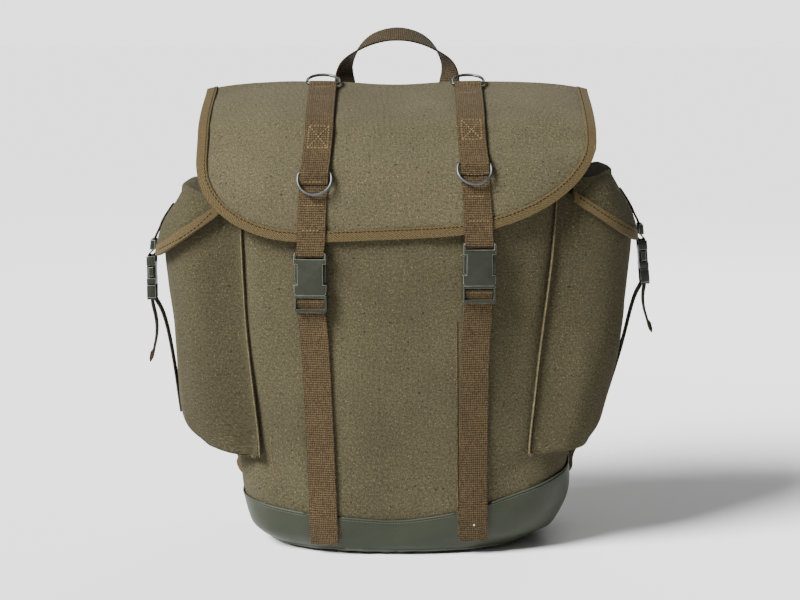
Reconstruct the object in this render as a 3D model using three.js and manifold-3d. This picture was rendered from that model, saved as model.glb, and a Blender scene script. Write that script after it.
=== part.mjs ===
// A canvas rucksack: a bulging main bag with a boot of coated cloth, a bound lid,
// two side pockets with bound lids, webbing straps with side-release buckles,
// D-rings, a carry handle and two shoulder straps.
// Millimetres, +Z up, the front faces -Y, the origin lies under the bag on the floor.
import * as THREE from "three";
import { mergeVertices } from "three/addons/utils/BufferGeometryUtils.js";
import Module from "manifold-3d";

const wasm = await Module();
wasm.setup();

// Cloth, sewing and webbing
const CANVAS = 2;
const COATED_CLOTH = 1.5;
const SEW_GAP = 0.5;
const TAPE = 1;
const TAPE_GAP = 0.9;
const TAPE_WIDTH = 10;
const WEBBING = 1.6;
const WEBBING_ROOM = 0.4;
const WEBBING_WIDTH = 30;
const POCKET_WEBBING_WIDTH = 20;
const HANDLE_WEBBING_WIDTH = 25;

// Main bag
const BODY_WIDTH = 390;
const BODY_HEIGHT = 458;
const FRONT_DEPTH = 118;
const BACK_DEPTH = 87;
const FRONT_ROUNDNESS = 3.2;
const BACK_ROUNDNESS = 5;
const BOOT_HEIGHT = 39.5;
const BOOT_EDGE = {
  left: { rise: 16, power: 1.25 },
  right: { rise: 51, power: 1.5 },
};
const CANVAS_HEM_HEIGHT = 18;

// Lid
const LID_WIDTH = 423;
const LID_CLEARANCE = 2.8;
const LID_HEM_HEIGHT = 349;
const LID_HEM_SLANT = 0.04;
const LID_FLATNESS = 1.54;
const LID_ROUNDNESS = 2.6;
const LID_REAR_LAP = 12;
const LID_END_DROOP = 9;
const LID_MIDDLE_SAG = 4;
const LID_CORNERS = {
  left: { reach: 117, rise: 82 },
  right: { reach: 168, rise: 98 },
};

// Side pockets
const POCKET_BULGE = 60;
const POCKET_MIDDLE_Y = -12;
const POCKET_REAR_Y = 52;
const POCKET_ROUNDNESS = 3;
const POCKET_FLANGE = 7;
const POCKET_LIP_SHARE = 0.96;
const POCKET_CLOSE_STEP = 4;
const POCKET_HEM_POWER = 2.2;
const POCKET_SEW_GAP = 2.2;
const POCKETS = {
  left: { side: -1, bottom: 110, top: 388, lidHigh: 379, lidLow: 321, flare: 4, buckleLift: 14.5 },
  right: { side: 1, bottom: 115, top: 405, lidHigh: 389, lidLow: 338, flare: 1, buckleLift: 12 },
};
const POCKET_BUCKLE_LEAN = { left: 0, right: 5 };
const POCKET_HEM_TO_BUCKLE = 36;
const POCKET_STRAP_FOOT = 142;
const KEEPER = { height: 11, wall: 1.5 };

// Free ends of the pocket straps: where they end, and how far they sway outward
// from the buckle at even steps down.
const POCKET_TAILS = {
  left: { low: 199, sway: [0, -2.6, -4, -4, -2.4, 0] },
  right: { low: 232, sway: [-0.8, -1.4, -0.6, 1.6, 4.6] },
};

// Straps over the lid and down the front
const HEM_TO_BUCKLE = 57;
const OVERLAY_TAIL = 12;
const OVERLAY_FOLD = 20;
const RING_BEFORE_CREST = 23;
const BUCKLE_LIFT = 1.6;
const STRAP_FEET = { left: 13, right: 18 };

// D-rings. RING_HEM_SHARE is the lower ring's place on the lid's front, from the hem up.
const RING_HEM_SHARE = 0.5378;
const RING_WIRE = 4;
const RING_SIDE_ROOM = 1.1;
const RING_REACH = 25;
const RING_LEG_SHARE = 0.32;
const RING_WIRE_SIDES = 6;
const LOW_RING_TILT = 0;
const TOP_RING_TILT = 8;

// Side-release buckles, for webbing of a given width
const BUCKLE = {
  thickness: 9.5,
  wall: 1.7,
  earRoom: 2.2,
  socketLength: 38,
  slot: 3,
  bar: 3.5,
  barThickness: 3.2,
  plugFrame: 18.5,
  plugTop: 3,
  windowLow: 11,
  windowHigh: 33,
  windowDepth: 3.6,
};

// Carry handle
const HANDLE_SPACING = 117;
const HANDLE_FOOT = 20;
const HANDLE_RISE = 59;

// Shoulder straps
const PAD_WIDTH = 58;
const PAD_THICKNESS = 9;
const PAD_BULGE = 44;
const PAD_BELOW_RIM = 44;
const PAD_END_HEIGHT = 196;
const PAD_TOP_SPACING = 108;
const PAD_END_SPACING = 248;
const ANCHOR_HEIGHT = 62;
const ADJUSTER = { length: 22, cheek: 3, thickness: 4, bar: 3.5 };

// Sections of the main bag. Heights are shares of BODY_HEIGHT, half widths of
// BODY_WIDTH / 2, depths of FRONT_DEPTH and BACK_DEPTH, round of FRONT_ROUNDNESS.
const BODY_SECTIONS = [
  { height: 0, left: 0.62, right: 0.65, front: 0.72, back: 0.713, round: 0.68 },
  { height: 0.009, left: 0.722, right: 0.738, front: 0.806, back: 0.851, round: 0.74 },
  { height: 0.028, left: 0.797, right: 0.826, front: 0.862, back: 0.92, round: 0.84 },
  { height: 0.058, left: 0.845, right: 0.903, front: 0.898, back: 0.954, round: 0.93 },
  { height: 0.115, left: 0.877, right: 0.975, front: 0.93, back: 0.977, round: 1 },
  { height: 0.23, left: 0.903, right: 0.979, front: 0.96, back: 0.989, round: 1 },
  { height: 0.46, left: 0.955, right: 0.976, front: 1, back: 1, round: 1 },
  { height: 0.69, left: 0.99, right: 0.99, front: 1, back: 1, round: 1 },
  { height: 0.806, left: 1, right: 1, front: 0.966, back: 0.989, round: 1 },
  { height: 0.887, left: 1, right: 1, front: 0.907, back: 0.977, round: 1 },
  { height: 0.94, left: 0.985, right: 0.985, front: 0.788, back: 0.966, round: 1 },
  { height: 0.972, left: 0.944, right: 0.944, front: 0.644, back: 0.943, round: 1 },
  { height: 1, left: 0.872, right: 0.872, front: 0.441, back: 0.874, round: 1 },
];

// Dents and swells of the front, as soft bumps. x and wide are shares of BODY_WIDTH / 2,
// height and tall of BODY_HEIGHT, depth of FRONT_DEPTH and goes inward.
const BODY_FOLDS = [
  { x: 0.63, height: 0.17, wide: 0.1026, tall: 0.1004, depth: 0.0271 },
  { x: 0.72, height: 0.2, wide: 0.1231, tall: 0.0568, depth: -0.0203 },
  { x: -0.62, height: 0.2, wide: 0.0923, tall: 0.131, depth: 0.0186 },
  { x: 0, height: 0.4, wide: 0.2821, tall: 0.262, depth: -0.0254 },
  { x: 0.6, height: 0.62, wide: 0.0718, tall: 0.1528, depth: 0.0203 },
  { x: -0.63, height: 0.6, wide: 0.0718, tall: 0.1747, depth: 0.0169 },
];

// Top of the lid from the back seam forward. y is a share of BACK_DEPTH behind
// the middle and of FRONT_DEPTH before it, rise is above the rim of the bag.
const LID_TOP = [
  { y: 0.966, rise: 14 },
  { y: 0.92, rise: 32 },
  { y: 0.816, rise: 43 },
  { y: 0.667, rise: 47 },
  { y: 0.437, rise: 41 },
  { y: 0, rise: 31.5 },
  { y: -0.339, rise: 17.5 },
  { y: -0.56, rise: 3.5 },
];

// Sections of a side pocket from its bottom to its roof, as shares of its height
// and of POCKET_BULGE. seam is the front seam's place, a share of BODY_WIDTH / 2.
const POCKET_SECTIONS = [
  { height: 0, left: 0.5, right: 0.3, leftSeam: 0.8, rightSeam: 0.768 },
  { height: 0.03, left: 0.7, right: 0.42, leftSeam: 0.802, rightSeam: 0.771 },
  { height: 0.07, left: 0.9, right: 0.55, leftSeam: 0.806, rightSeam: 0.776 },
  { height: 0.13, left: 1, right: 0.64, leftSeam: 0.814, rightSeam: 0.785 },
  { height: 0.22, left: 1, right: 0.76, leftSeam: 0.828, rightSeam: 0.8 },
  { height: 0.35, left: 0.98, right: 0.92, leftSeam: 0.848, rightSeam: 0.82 },
  { height: 0.5, left: 0.97, right: 1, leftSeam: 0.868, rightSeam: 0.848 },
  { height: 0.65, left: 1.01, right: 1.05, leftSeam: 0.88, rightSeam: 0.876 },
  { height: 0.78, left: 1.04, right: 1.06, leftSeam: 0.888, rightSeam: 0.896 },
  { height: 0.87, left: 0.96, right: 0.96, leftSeam: 0.892, rightSeam: 0.906 },
  { height: 0.94, left: 0.78, right: 0.77, leftSeam: 0.896, rightSeam: 0.91 },
  { height: 1, left: 0.58, right: 0.56, leftSeam: 0.9, rightSeam: 0.914 },
];

// Places of the straps across the bag, as shares of BODY_WIDTH / 2.
const STRAP_RUN = [
  { height: 0, left: -0.397, right: 0.421 },
  { height: 0.25, left: -0.418, right: 0.42 },
  { height: 0.5, left: -0.443, right: 0.426 },
  { height: 0.62, left: -0.461, right: 0.438 },
  { height: 0.76, left: -0.461, right: 0.44 },
  { height: 1, left: -0.424, right: 0.405 },
];

// The carry handle's arch from the crest of the lid to its middle: x is a share of
// HANDLE_SPACING / 2, back is behind the lid, rise a share of HANDLE_RISE.
const HANDLE_ARCH = [
  { x: 1.01, back: 2.5, rise: -0.12 },
  { x: 1.025, back: 4, rise: 0.06 },
  { x: 0.99, back: 5, rise: 0.29 },
  { x: 0.8, back: 5, rise: 0.54 },
  { x: 0.54, back: 5, rise: 0.745 },
  { x: 0.27, back: 5, rise: 0.848 },
  { x: 0, back: 5, rise: 0.88 },
];

// How far its webbing is turned: -90 flat on the lid, 0 edge on, along its length.
const HANDLE_TWIST = [
  { along: 0, degrees: -90 },
  { along: 0.12, degrees: -87 },
  { along: 0.2, degrees: -58 },
  { along: 0.322, degrees: 0 },
  { along: 0.42, degrees: 27 },
  { along: 0.5, degrees: 34 },
];

// Small shared sums

const lerp = THREE.MathUtils.lerp;
const vec = (x, y, z) => new THREE.Vector3(x, y, z);
const range = (count) => Array.from({ length: count }, (_, i) => i);
const smooth = (low, high, x) => THREE.MathUtils.smoothstep(x, low, high);

// A smooth curve through one column of a table, with no overshoot.
function column(table, key, along = "height") {
  const n = table.length;
  const x = table.map((row) => row[along]);
  const y = table.map((row) => row[key]);
  const rise = range(n - 1).map((i) => (y[i + 1] - y[i]) / (x[i + 1] - x[i]));
  const slope = range(n).map((i) => {
    if (i === 0) return rise[0];
    if (i === n - 1) return rise[n - 2];
    if (rise[i - 1] * rise[i] <= 0) return 0;
    return (2 * rise[i - 1] * rise[i]) / (rise[i - 1] + rise[i]);
  });
  return (at) => {
    if (at <= x[0]) return y[0];
    if (at >= x[n - 1]) return y[n - 1];
    const i = x.findIndex((edge, k) => at < x[k + 1] && at >= edge);
    const width = x[i + 1] - x[i];
    const t = (at - x[i]) / width;
    const a = (1 + 2 * t) * (1 - t) ** 2 * y[i];
    const b = t * (1 - t) ** 2 * width * slope[i];
    const c = t * t * (3 - 2 * t) * y[i + 1];
    const d = t * t * (t - 1) * width * slope[i + 1];
    return a + b + c + d;
  };
}

// Points along a smooth path, and the same path measured by its length.
function pathOf(points, steps) {
  return new THREE.CatmullRomCurve3(points, false, "centripetal").getSpacedPoints(steps);
}

// Solids from points

function volumeOf(points, faces) {
  let sum = 0;
  for (const [a, b, c] of faces) {
    sum += points[a].dot(points[b].clone().cross(points[c])) / 6;
  }
  return sum;
}

function solid(points, faces) {
  const turned = volumeOf(points, faces) < 0;
  const index = faces.flatMap(([a, b, c]) => (turned ? [a, c, b] : [a, b, c]));
  const geometry = new THREE.BufferGeometry().setFromPoints(points);
  geometry.setIndex(index);
  return geometry;
}

const quad = (a, b, c, d) => [
  [a, b, c],
  [a, c, d],
];

// A closed wall between two grids of points, open or joined round on itself.
function wall(outer, inner, joined = false) {
  const rows = outer.length;
  const columns = outer[0].length;
  const points = [...outer.flat(), ...inner.flat()];
  const shift = rows * columns;
  const at = (i, j) => i * columns + (j % columns);
  const faces = [];
  const lastColumn = joined ? columns : columns - 1;
  for (let i = 0; i < rows - 1; i++) {
    for (let j = 0; j < lastColumn; j++) {
      const corner = [at(i, j), at(i, j + 1), at(i + 1, j + 1), at(i + 1, j)];
      faces.push(...quad(...corner));
      faces.push(...quad(...corner.map((k) => k + shift).reverse()));
    }
  }
  const rim = (a, b) => faces.push(...quad(b, a, a + shift, b + shift));
  for (let j = 0; j < lastColumn; j++) {
    rim(at(0, j), at(0, j + 1));
    rim(at(rows - 1, j + 1), at(rows - 1, j));
  }
  for (let i = 0; i < rows - 1 && !joined; i++) {
    rim(at(i + 1, 0), at(i, 0));
    rim(at(i, columns - 1), at(i + 1, columns - 1));
  }
  return solid(points, faces);
}

// A cup: a joined wall whose last rows close over a point each.
function cup(outer, inner, outerMiddle, innerMiddle) {
  const rows = outer.length;
  const columns = outer[0].length;
  const shift = rows * columns;
  const points = [...outer.flat(), ...inner.flat(), outerMiddle, innerMiddle];
  const at = (i, j) => i * columns + (j % columns);
  const faces = [];
  for (let j = 0; j < columns; j++) {
    for (let i = 0; i < rows - 1; i++) {
      const corner = [at(i, j), at(i, j + 1), at(i + 1, j + 1), at(i + 1, j)];
      faces.push(...quad(...corner));
      faces.push(...quad(...corner.map((k) => k + shift).reverse()));
    }
    faces.push(...quad(at(0, j + 1), at(0, j), at(0, j) + shift, at(0, j + 1) + shift));
    const a = at(rows - 1, j);
    const b = at(rows - 1, j + 1);
    faces.push([a, b, 2 * shift], [b + shift, a + shift, 2 * shift + 1]);
  }
  return solid(points, faces);
}

// A bar swept through rings of points, closed on itself or capped at both ends.
function sweep(rings, closed = false) {
  const sides = rings[0].length;
  const count = rings.length;
  const points = rings.flat();
  const at = (i, j) => (i % count) * sides + (j % sides);
  const faces = [];
  for (let i = 0; i < (closed ? count : count - 1); i++) {
    for (let j = 0; j < sides; j++) {
      faces.push(...quad(at(i, j), at(i, j + 1), at(i + 1, j + 1), at(i + 1, j)));
    }
  }
  if (!closed) {
    const cap = capFaces(rings[0]);
    const last = (count - 1) * sides;
    faces.push(...cap.map(([a, b, c]) => [c, b, a]));
    faces.push(...cap.map(([a, b, c]) => [a + last, b + last, c + last]));
  }
  return solid(points, faces);
}

// Triangles over one ring of points, which may be hollowed like a U.
function capFaces(ring) {
  const across = ring[1].clone().sub(ring[0]).normalize();
  const normal = vec(0, 0, 0);
  ring.forEach((p, i) => normal.add(p.clone().cross(ring[(i + 1) % ring.length])));
  normal.normalize();
  const up = normal.clone().cross(across).normalize();
  const flat = ring.map((p) => new THREE.Vector2(p.dot(across), p.dot(up)));
  return THREE.ShapeUtils.triangulateShape(flat, []);
}

// A flat band: a box section along a path, with its across direction at each point.
function band(path, across, width, thickness) {
  const rings = path.map((p, i) => {
    const before = path[Math.max(i - 1, 0)];
    const after = path[Math.min(i + 1, path.length - 1)];
    const along = after.clone().sub(before).normalize();
    const side = across(i / (path.length - 1), p).clone();
    side.addScaledVector(along, -side.dot(along)).normalize();
    const out = along.clone().cross(side).normalize();
    return [
      [-1, -1],
      [1, -1],
      [1, 1],
      [-1, 1],
    ].map(([a, b]) =>
      p
        .clone()
        .addScaledVector(side, (a * width) / 2)
        .addScaledVector(out, (b * thickness) / 2),
    );
  });
  return sweep(rings);
}

// Cutting and joining of closed geometries

function asManifold(geometry) {
  const bare = new THREE.BufferGeometry();
  const loose = geometry.index ? geometry.toNonIndexed() : geometry;
  bare.setAttribute("position", loose.getAttribute("position"));
  const merged = mergeVertices(bare, 1e-4);
  return new wasm.Manifold(
    new wasm.Mesh({
      numProp: 3,
      vertProperties: new Float32Array(merged.attributes.position.array),
      triVerts: new Uint32Array(merged.index.array),
    }),
  );
}

function fromManifold(made) {
  const mesh = made.getMesh();
  const geometry = new THREE.BufferGeometry();
  geometry.setAttribute("position", new THREE.BufferAttribute(mesh.vertProperties, 3));
  geometry.setIndex(new THREE.BufferAttribute(mesh.triVerts, 1));
  return geometry;
}

function join(...geometries) {
  const [first, ...rest] = geometries.map(asManifold);
  return fromManifold(rest.reduce((sum, next) => sum.add(next), first));
}

function cut(geometry, ...cutters) {
  return fromManifold(
    cutters.map(asManifold).reduce((sum, next) => sum.subtract(next), asManifold(geometry)),
  );
}

function block(x, y, z) {
  const [width, depth, height] = [x, y, z].map(([low, high]) => high - low);
  const geometry = new THREE.BoxGeometry(width, depth, height);
  return geometry.translate((x[0] + x[1]) / 2, (y[0] + y[1]) / 2, (z[0] + z[1]) / 2);
}

// A plate cut to an outline of [x, z] corners, standing upright, its depth along Y.
function plate(corners, low, high) {
  const shape = new THREE.Shape(corners.map(([x, z]) => new THREE.Vector2(x, z)));
  const geometry = new THREE.ExtrudeGeometry(shape, {
    depth: high - low,
    bevelEnabled: false,
  });
  return geometry.rotateX(Math.PI / 2).translate(0, high, 0);
}

// The form of the main bag

const bodyLeft = column(BODY_SECTIONS, "left");
const bodyRight = column(BODY_SECTIONS, "right");
const bodyFront = column(BODY_SECTIONS, "front");
const bodyBack = column(BODY_SECTIONS, "back");
const bodyRound = column(BODY_SECTIONS, "round");

// Half widths and depths of the bag at a height, grown outward.
function bodySize(z, grow = 0) {
  const share = z / BODY_HEIGHT;
  return {
    left: (bodyLeft(share) * BODY_WIDTH) / 2 + grow,
    right: (bodyRight(share) * BODY_WIDTH) / 2 + grow,
    front: bodyFront(share) * FRONT_DEPTH + grow,
    back: bodyBack(share) * BACK_DEPTH + grow,
    round: bodyRound(share) * FRONT_ROUNDNESS,
  };
}

function foldDepth(x, z) {
  return BODY_FOLDS.reduce((sum, fold) => {
    const across = ((2 * x) / BODY_WIDTH - fold.x) / fold.wide;
    const up = (z / BODY_HEIGHT - fold.height) / fold.tall;
    return sum + fold.depth * FRONT_DEPTH * Math.exp(-across * across - up * up);
  }, 0);
}

const superellipse = (share, roundness) =>
  Math.max(1 - Math.abs(share) ** roundness, 0) ** (1 / roundness);

// The front of the bag at a place across it and a height.
function bodyFrontY(x, z, grow = 0) {
  const size = bodySize(z, grow);
  const half = x < 0 ? size.left : size.right;
  return -size.front * superellipse(x / half, size.round) + foldDepth(x, z);
}

// The side of the bag at a place along its depth, on side -1 or 1.
function bodySideX(side, y, z, grow = 0) {
  const size = bodySize(z, grow);
  const half = side < 0 ? size.left : size.right;
  const share = y < 0 ? y / size.front : y / size.back;
  return side * half * superellipse(share, y < 0 ? size.round : BACK_ROUNDNESS);
}

// A point of the bag at a heading: 0 is right, a quarter turn is the front.
function bodyPoint(heading, z, grow = 0) {
  const size = bodySize(z, grow);
  const c = Math.cos(heading);
  const s = Math.sin(heading);
  const power = 2 / (s > 0 ? size.round : BACK_ROUNDNESS);
  const x = Math.sign(c) * (c < 0 ? size.left : size.right) * Math.abs(c) ** power;
  const y = s > 0 ? -size.front * s ** power : size.back * Math.abs(s) ** power;
  return vec(x, s > 0 ? y + foldDepth(x, z) : y, z);
}

// Headings of the bag's columns, evenly apart along its outline at half height.
const BODY_COLUMNS = 42;
const headings = evenHeadings(BODY_COLUMNS);

function evenHeadings(count) {
  const fine = 1440;
  const places = range(fine + 1).map((i) => bodyPoint((i / fine) * 2 * Math.PI, BODY_HEIGHT / 2));
  const lengths = [0];
  for (let i = 1; i <= fine; i++) {
    lengths.push(lengths[i - 1] + places[i].distanceTo(places[i - 1]));
  }
  return range(count).map((j) => {
    const reach = (j / count) * lengths[fine];
    const i = lengths.findIndex((length) => length > reach);
    const share = (reach - lengths[i - 1]) / (lengths[i] - lengths[i - 1]);
    return ((i - 1 + share) / fine) * 2 * Math.PI;
  });
}

const BAG_ROWS = [0.25, 0.38, 0.5, 0.62, 0.74, 0.83, 0.9, 0.945, 0.978, 1];

function mainBag() {
  const grid = (grow) => {
    const low = [...BOOT_ROWS].reverse().slice(2);
    const rows = low.map((row) => headings.map((a) => bodyPoint(a, bootHeight(row, a), grow)));
    BAG_ROWS.forEach((share) =>
      rows.push(headings.map((a) => bodyPoint(a, share * BODY_HEIGHT, grow))),
    );
    return rows;
  };
  return wall(grid(0), grid(-CANVAS), true);
}

// Height of the boot's sewn edge, which climbs towards the sides.
function bootEdge(x) {
  const size = bodySize(BOOT_HEIGHT);
  const share = Math.min(Math.abs(x) / (x < 0 ? size.left : size.right), 1);
  const edge = x < 0 ? BOOT_EDGE.left : BOOT_EDGE.right;
  return BOOT_HEIGHT + edge.rise * share ** edge.power;
}

// Rows of the boot: shares of the way from a fixed height up to its sewn edge.
const BOOT_ROWS = [
  { share: 1, fixed: 0 },
  { share: 0.5, fixed: 25 },
  { share: 0, fixed: 25 },
  { share: 0, fixed: CANVAS_HEM_HEIGHT },
  { share: 0, fixed: 10 },
  { share: 0, fixed: 4 },
];

function bootHeight(row, heading) {
  const edge = bootEdge(bodyPoint(heading, BOOT_HEIGHT).x);
  return lerp(row.fixed, edge, row.share);
}

function boot() {
  const skin = (grow, floor) => {
    const rows = BOOT_ROWS.map((row) =>
      headings.map((a) => bodyPoint(a, Math.max(bootHeight(row, a), floor), grow)),
    );
    rows.push(headings.map((a) => bodyPoint(a, 0, grow).setZ(floor)));
    return rows;
  };
  const outer = skin(SEW_GAP + COATED_CLOTH, 0);
  const inner = skin(SEW_GAP, COATED_CLOTH);
  return cup(outer, inner, vec(31, 7, 0), vec(31, 7, COATED_CLOTH));
}

// The form of the lid

const lidOutside = LID_CLEARANCE + CANVAS;

// The lid's middle line from the back seam, over the top, down the front.
function lidProfile() {
  const back = bodySize(BODY_HEIGHT - LID_REAR_LAP).back + lidOutside;
  const points = [vec(0, back, BODY_HEIGHT - LID_REAR_LAP)];
  for (const row of LID_TOP) {
    const depth = row.y > 0 ? BACK_DEPTH : FRONT_DEPTH;
    points.push(vec(0, row.y * depth + Math.sign(row.y) * lidOutside, BODY_HEIGHT + row.rise));
  }
  const top = BODY_HEIGHT * 0.972;
  const steps = 7;
  for (let i = 0; i <= steps; i++) {
    const z = lerp(top, LID_HEM_HEIGHT - 30, i / steps);
    const slope = (bodySize(z + 1).front - bodySize(z - 1).front) / 2;
    const length = Math.hypot(1, slope);
    const y = -bodySize(z).front - lidOutside / length;
    points.push(vec(0, y, z - (slope * lidOutside) / length));
  }
  return new THREE.CatmullRomCurve3(points, false, "centripetal");
}

const lidCurve = lidProfile();
lidCurve.arcLengthDivisions = 600;
const lidLength = lidCurve.getLength();
const lidSamples = range(601).map((i) => lidCurve.getPointAt(i / 600));

// How far along the middle line the lid reaches a height on its front, and its crest.
const lidCrest = lidSamples.reduce((best, p, i) => (p.z > lidSamples[best].z ? i : best), 0);
const crestAt = (lidCrest / 600) * lidLength;
function lidAtHeight(z) {
  const i = lidSamples.findIndex((p, k) => k > lidCrest && p.z < z);
  const before = lidSamples[i - 1];
  const share = (before.z - z) / (before.z - lidSamples[i].z);
  return ((i - 1 + share) / 600) * lidLength;
}
const hemAt = lidAtHeight(LID_HEM_HEIGHT);

function lidSurface(x, s) {
  const along = THREE.MathUtils.clamp(s / lidLength, 0, 1);
  const p = lidCurve.getPointAt(along);
  const spread = (LID_FLATNESS * BODY_WIDTH) / 2;
  const roundness = p.y < 0 ? LID_ROUNDNESS : BACK_ROUNDNESS;
  const top = smooth(BODY_HEIGHT - 20, BODY_HEIGHT + 40, p.z);
  const end = (2 * Math.abs(x)) / LID_WIDTH;
  const middle = (4 * x) / BODY_WIDTH;
  const drop = LID_END_DROOP * end ** 6 + LID_MIDDLE_SAG * Math.exp(-middle * middle * 4);
  return vec(x, p.y * superellipse(x / spread, roundness), p.z - drop * top);
}

// A point above the lid's outer face, and the direction away from that face.
function lidNormal(x, s) {
  const across = lidSurface(x + 1, s).sub(lidSurface(x - 1, s));
  const along = lidSurface(x, s + 1).sub(lidSurface(x, s - 1));
  return along.cross(across).normalize();
}
const lidPoint = (x, s, above = 0) => lidSurface(x, s).addScaledVector(lidNormal(x, s), above);

// Where the lid's lower edge lies at a place across it, measured along the middle line.
function lidEdge(x) {
  const corner = x < 0 ? LID_CORNERS.left : LID_CORNERS.right;
  const past = Math.max(Math.abs(x) - (LID_WIDTH / 2 - corner.reach), 0) / corner.reach;
  const rise = corner.rise * (1 - Math.sqrt(Math.max(1 - past * past, 0)));
  return hemAt - LID_HEM_SLANT * x - rise;
}

// Rows of the lid: closest where its middle line turns most, then evenly to the hem.
const LID_TOP_ROWS = 11;
const LID_FRONT_ROWS = 7;
const LID_COLUMNS = 20;
const lidFold = lidAtHeight(BODY_HEIGHT + 6);
const lidTopPlaces = turningPlaces(lidFold, LID_TOP_ROWS);

function turningPlaces(end, count) {
  const fine = 200;
  const tangent = (i) => lidCurve.getTangentAt(((i / fine) * end) / lidLength);
  const measure = [0];
  for (let i = 1; i <= fine; i++) {
    const turned = tangent(i).angleTo(tangent(i - 1));
    measure.push(measure[i - 1] + end / fine / 60 + turned);
  }
  return range(count + 1).map((k) => {
    const reach = (k / count) * measure[fine];
    const i = Math.max(measure.findIndex((m) => m >= reach), 1);
    const share = (reach - measure[i - 1]) / (measure[i] - measure[i - 1]);
    return ((i - 1 + share) / fine) * end;
  });
}

function lidRowPlaces(x) {
  const front = range(LID_FRONT_ROWS).map((k) => (k + 1) / LID_FRONT_ROWS);
  return [...lidTopPlaces, ...front.map((share) => lerp(lidFold, lidEdge(x), share))];
}

function lidColumnPlaces() {
  return range(LID_COLUMNS + 1).map((j) => {
    const share = (j / LID_COLUMNS) * 2 - 1;
    return (LID_WIDTH / 2) * Math.sin((share * Math.PI) / 2);
  });
}

function lid() {
  const columns = lidColumnPlaces();
  const rows = columns.map((x) => lidRowPlaces(x));
  const grid = (above) =>
    rows[0].map((_, i) => columns.map((x, j) => lidPoint(x, rows[j][i], above)));
  return wall(grid(0), grid(-CANVAS));
}

// The lid's edge, as [x, s] places from the rear left corner round to the rear right.
function lidOutline() {
  const sideOf = (x) => lidRowPlaces(x).slice(0, -1).map((s) => [x, s]);
  const left = sideOf(-LID_WIDTH / 2);
  const right = sideOf(LID_WIDTH / 2);
  const hem = lidColumnPlaces().map((x) => [x, lidEdge(x)]);
  return [...left, ...hem, ...right.reverse()];
}

// A tape folded round an edge: its ring of eight corners at one place of the edge.
function tapeRing(pointAt, thickness) {
  const over = TAPE_GAP + TAPE;
  return [
    pointAt(TAPE_WIDTH, over),
    pointAt(-over, over),
    pointAt(-over, -thickness - over),
    pointAt(TAPE_WIDTH, -thickness - over),
    pointAt(TAPE_WIDTH, -thickness - TAPE_GAP),
    pointAt(-TAPE_GAP, -thickness - TAPE_GAP),
    pointAt(-TAPE_GAP, TAPE_GAP),
    pointAt(TAPE_WIDTH, TAPE_GAP),
  ];
}

function lidBinding() {
  const outline = lidOutline();
  const rings = outline.map(([x, s], i) => {
    const [xa, sa] = outline[Math.max(i - 1, 0)];
    const [xb, sb] = outline[Math.min(i + 1, outline.length - 1)];
    const length = Math.hypot(xb - xa, sb - sa);
    const inX = (sb - sa) / length;
    const inS = -(xb - xa) / length;
    return tapeRing((inward, above) => lidPoint(x + inX * inward, s + inS * inward, above), CANVAS);
  });
  return sweep(rings);
}

// The form of the side pockets

function pocketForm(name) {
  const { side, bottom, top } = POCKETS[name];
  const bulge = column(POCKET_SECTIONS, name);
  const seam = column(POCKET_SECTIONS, `${name}Seam`);
  const heightAt = (share) => lerp(bottom, top, share);
  const shareAt = (z) => (z - bottom) / (top - bottom);
  // round goes from 0 at the front seam through 1 at the outer face to 2 at the rear
  // seam, and a flange beyond each end lies on the bag.
  function point(round, share, grow = 0) {
    const z = heightAt(share);
    const skin = POCKET_SEW_GAP + CANVAS + grow;
    const seamX = (side * seam(share) * BODY_WIDTH) / 2;
    if (round < 0) {
      const x = seamX + side * round * POCKET_FLANGE;
      return vec(x, bodyFrontY(x, z, skin), z);
    }
    if (round > 2) {
      const y = POCKET_REAR_Y + (round - 2) * POCKET_FLANGE;
      return vec(bodySideX(side, y, z, skin), y, z);
    }
    const outX = bodySideX(side, POCKET_MIDDLE_Y, z) + side * (bulge(share) * POCKET_BULGE + grow);
    const front = round <= 1;
    const turn = (front ? round : 2 - round) * (Math.PI / 2);
    const endX = front ? seamX : bodySideX(side, POCKET_REAR_Y, z, skin);
    const endY = front ? bodyFrontY(seamX, z, skin) : POCKET_REAR_Y + grow;
    const power = 2 / POCKET_ROUNDNESS;
    return vec(
      lerp(endX, outX, Math.sin(turn) ** power),
      lerp(POCKET_MIDDLE_Y, endY, Math.max(Math.cos(turn), 0) ** power),
      z,
    );
  }
  // The place on the bag's own side beside a point of the pocket, at another height.
  function onBag(round, share, grow, z) {
    const p = point(round, share, grow);
    const skin = POCKET_SEW_GAP + CANVAS + grow;
    if (round < 0) return vec(p.x, bodyFrontY(p.x, z, skin), z);
    const y = Math.min(p.y, POCKET_REAR_Y + POCKET_FLANGE);
    return vec(bodySideX(side, y, z, skin), y, z);
  }
  return { top, bottom, point, onBag, shareAt };
}

const pocketForms = { left: pocketForm("left"), right: pocketForm("right") };
const POCKET_ROUND = [-1, 0, 0.14, 0.3, 0.44, 0.56, 0.72, 1, 1.3, 1.46, 1.62, 1.82, 2, 3];
const POCKET_ROWS = [POCKET_LIP_SHARE, 0.88, 0.78, 0.65, 0.5, 0.35, 0.22, 0.13, 0.07, 0.03, 0];

function pocket(name) {
  const { point, onBag, bottom } = pocketForms[name];
  const grid = (grow) => {
    const rows = POCKET_ROWS.map((share) => POCKET_ROUND.map((r) => point(r, share, grow)));
    const close = bottom - POCKET_CLOSE_STEP - grow;
    rows.push(POCKET_ROUND.map((r) => onBag(r, 0, grow, close)));
    return rows;
  };
  return wall(grid(0), grid(-CANVAS));
}

// The pocket's lid is the pocket's own form, a step outside it, down to a curved hem.
const pocketLidOutside = LID_CLEARANCE + CANVAS;
const POCKET_LID_ROUND = [
  0.04, 0.12, 0.22, 0.33, 0.44, 0.56, 0.68, 0.82, 1, 1.18, 1.34, 1.48, 1.62, 1.74, 1.86,
];

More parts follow.
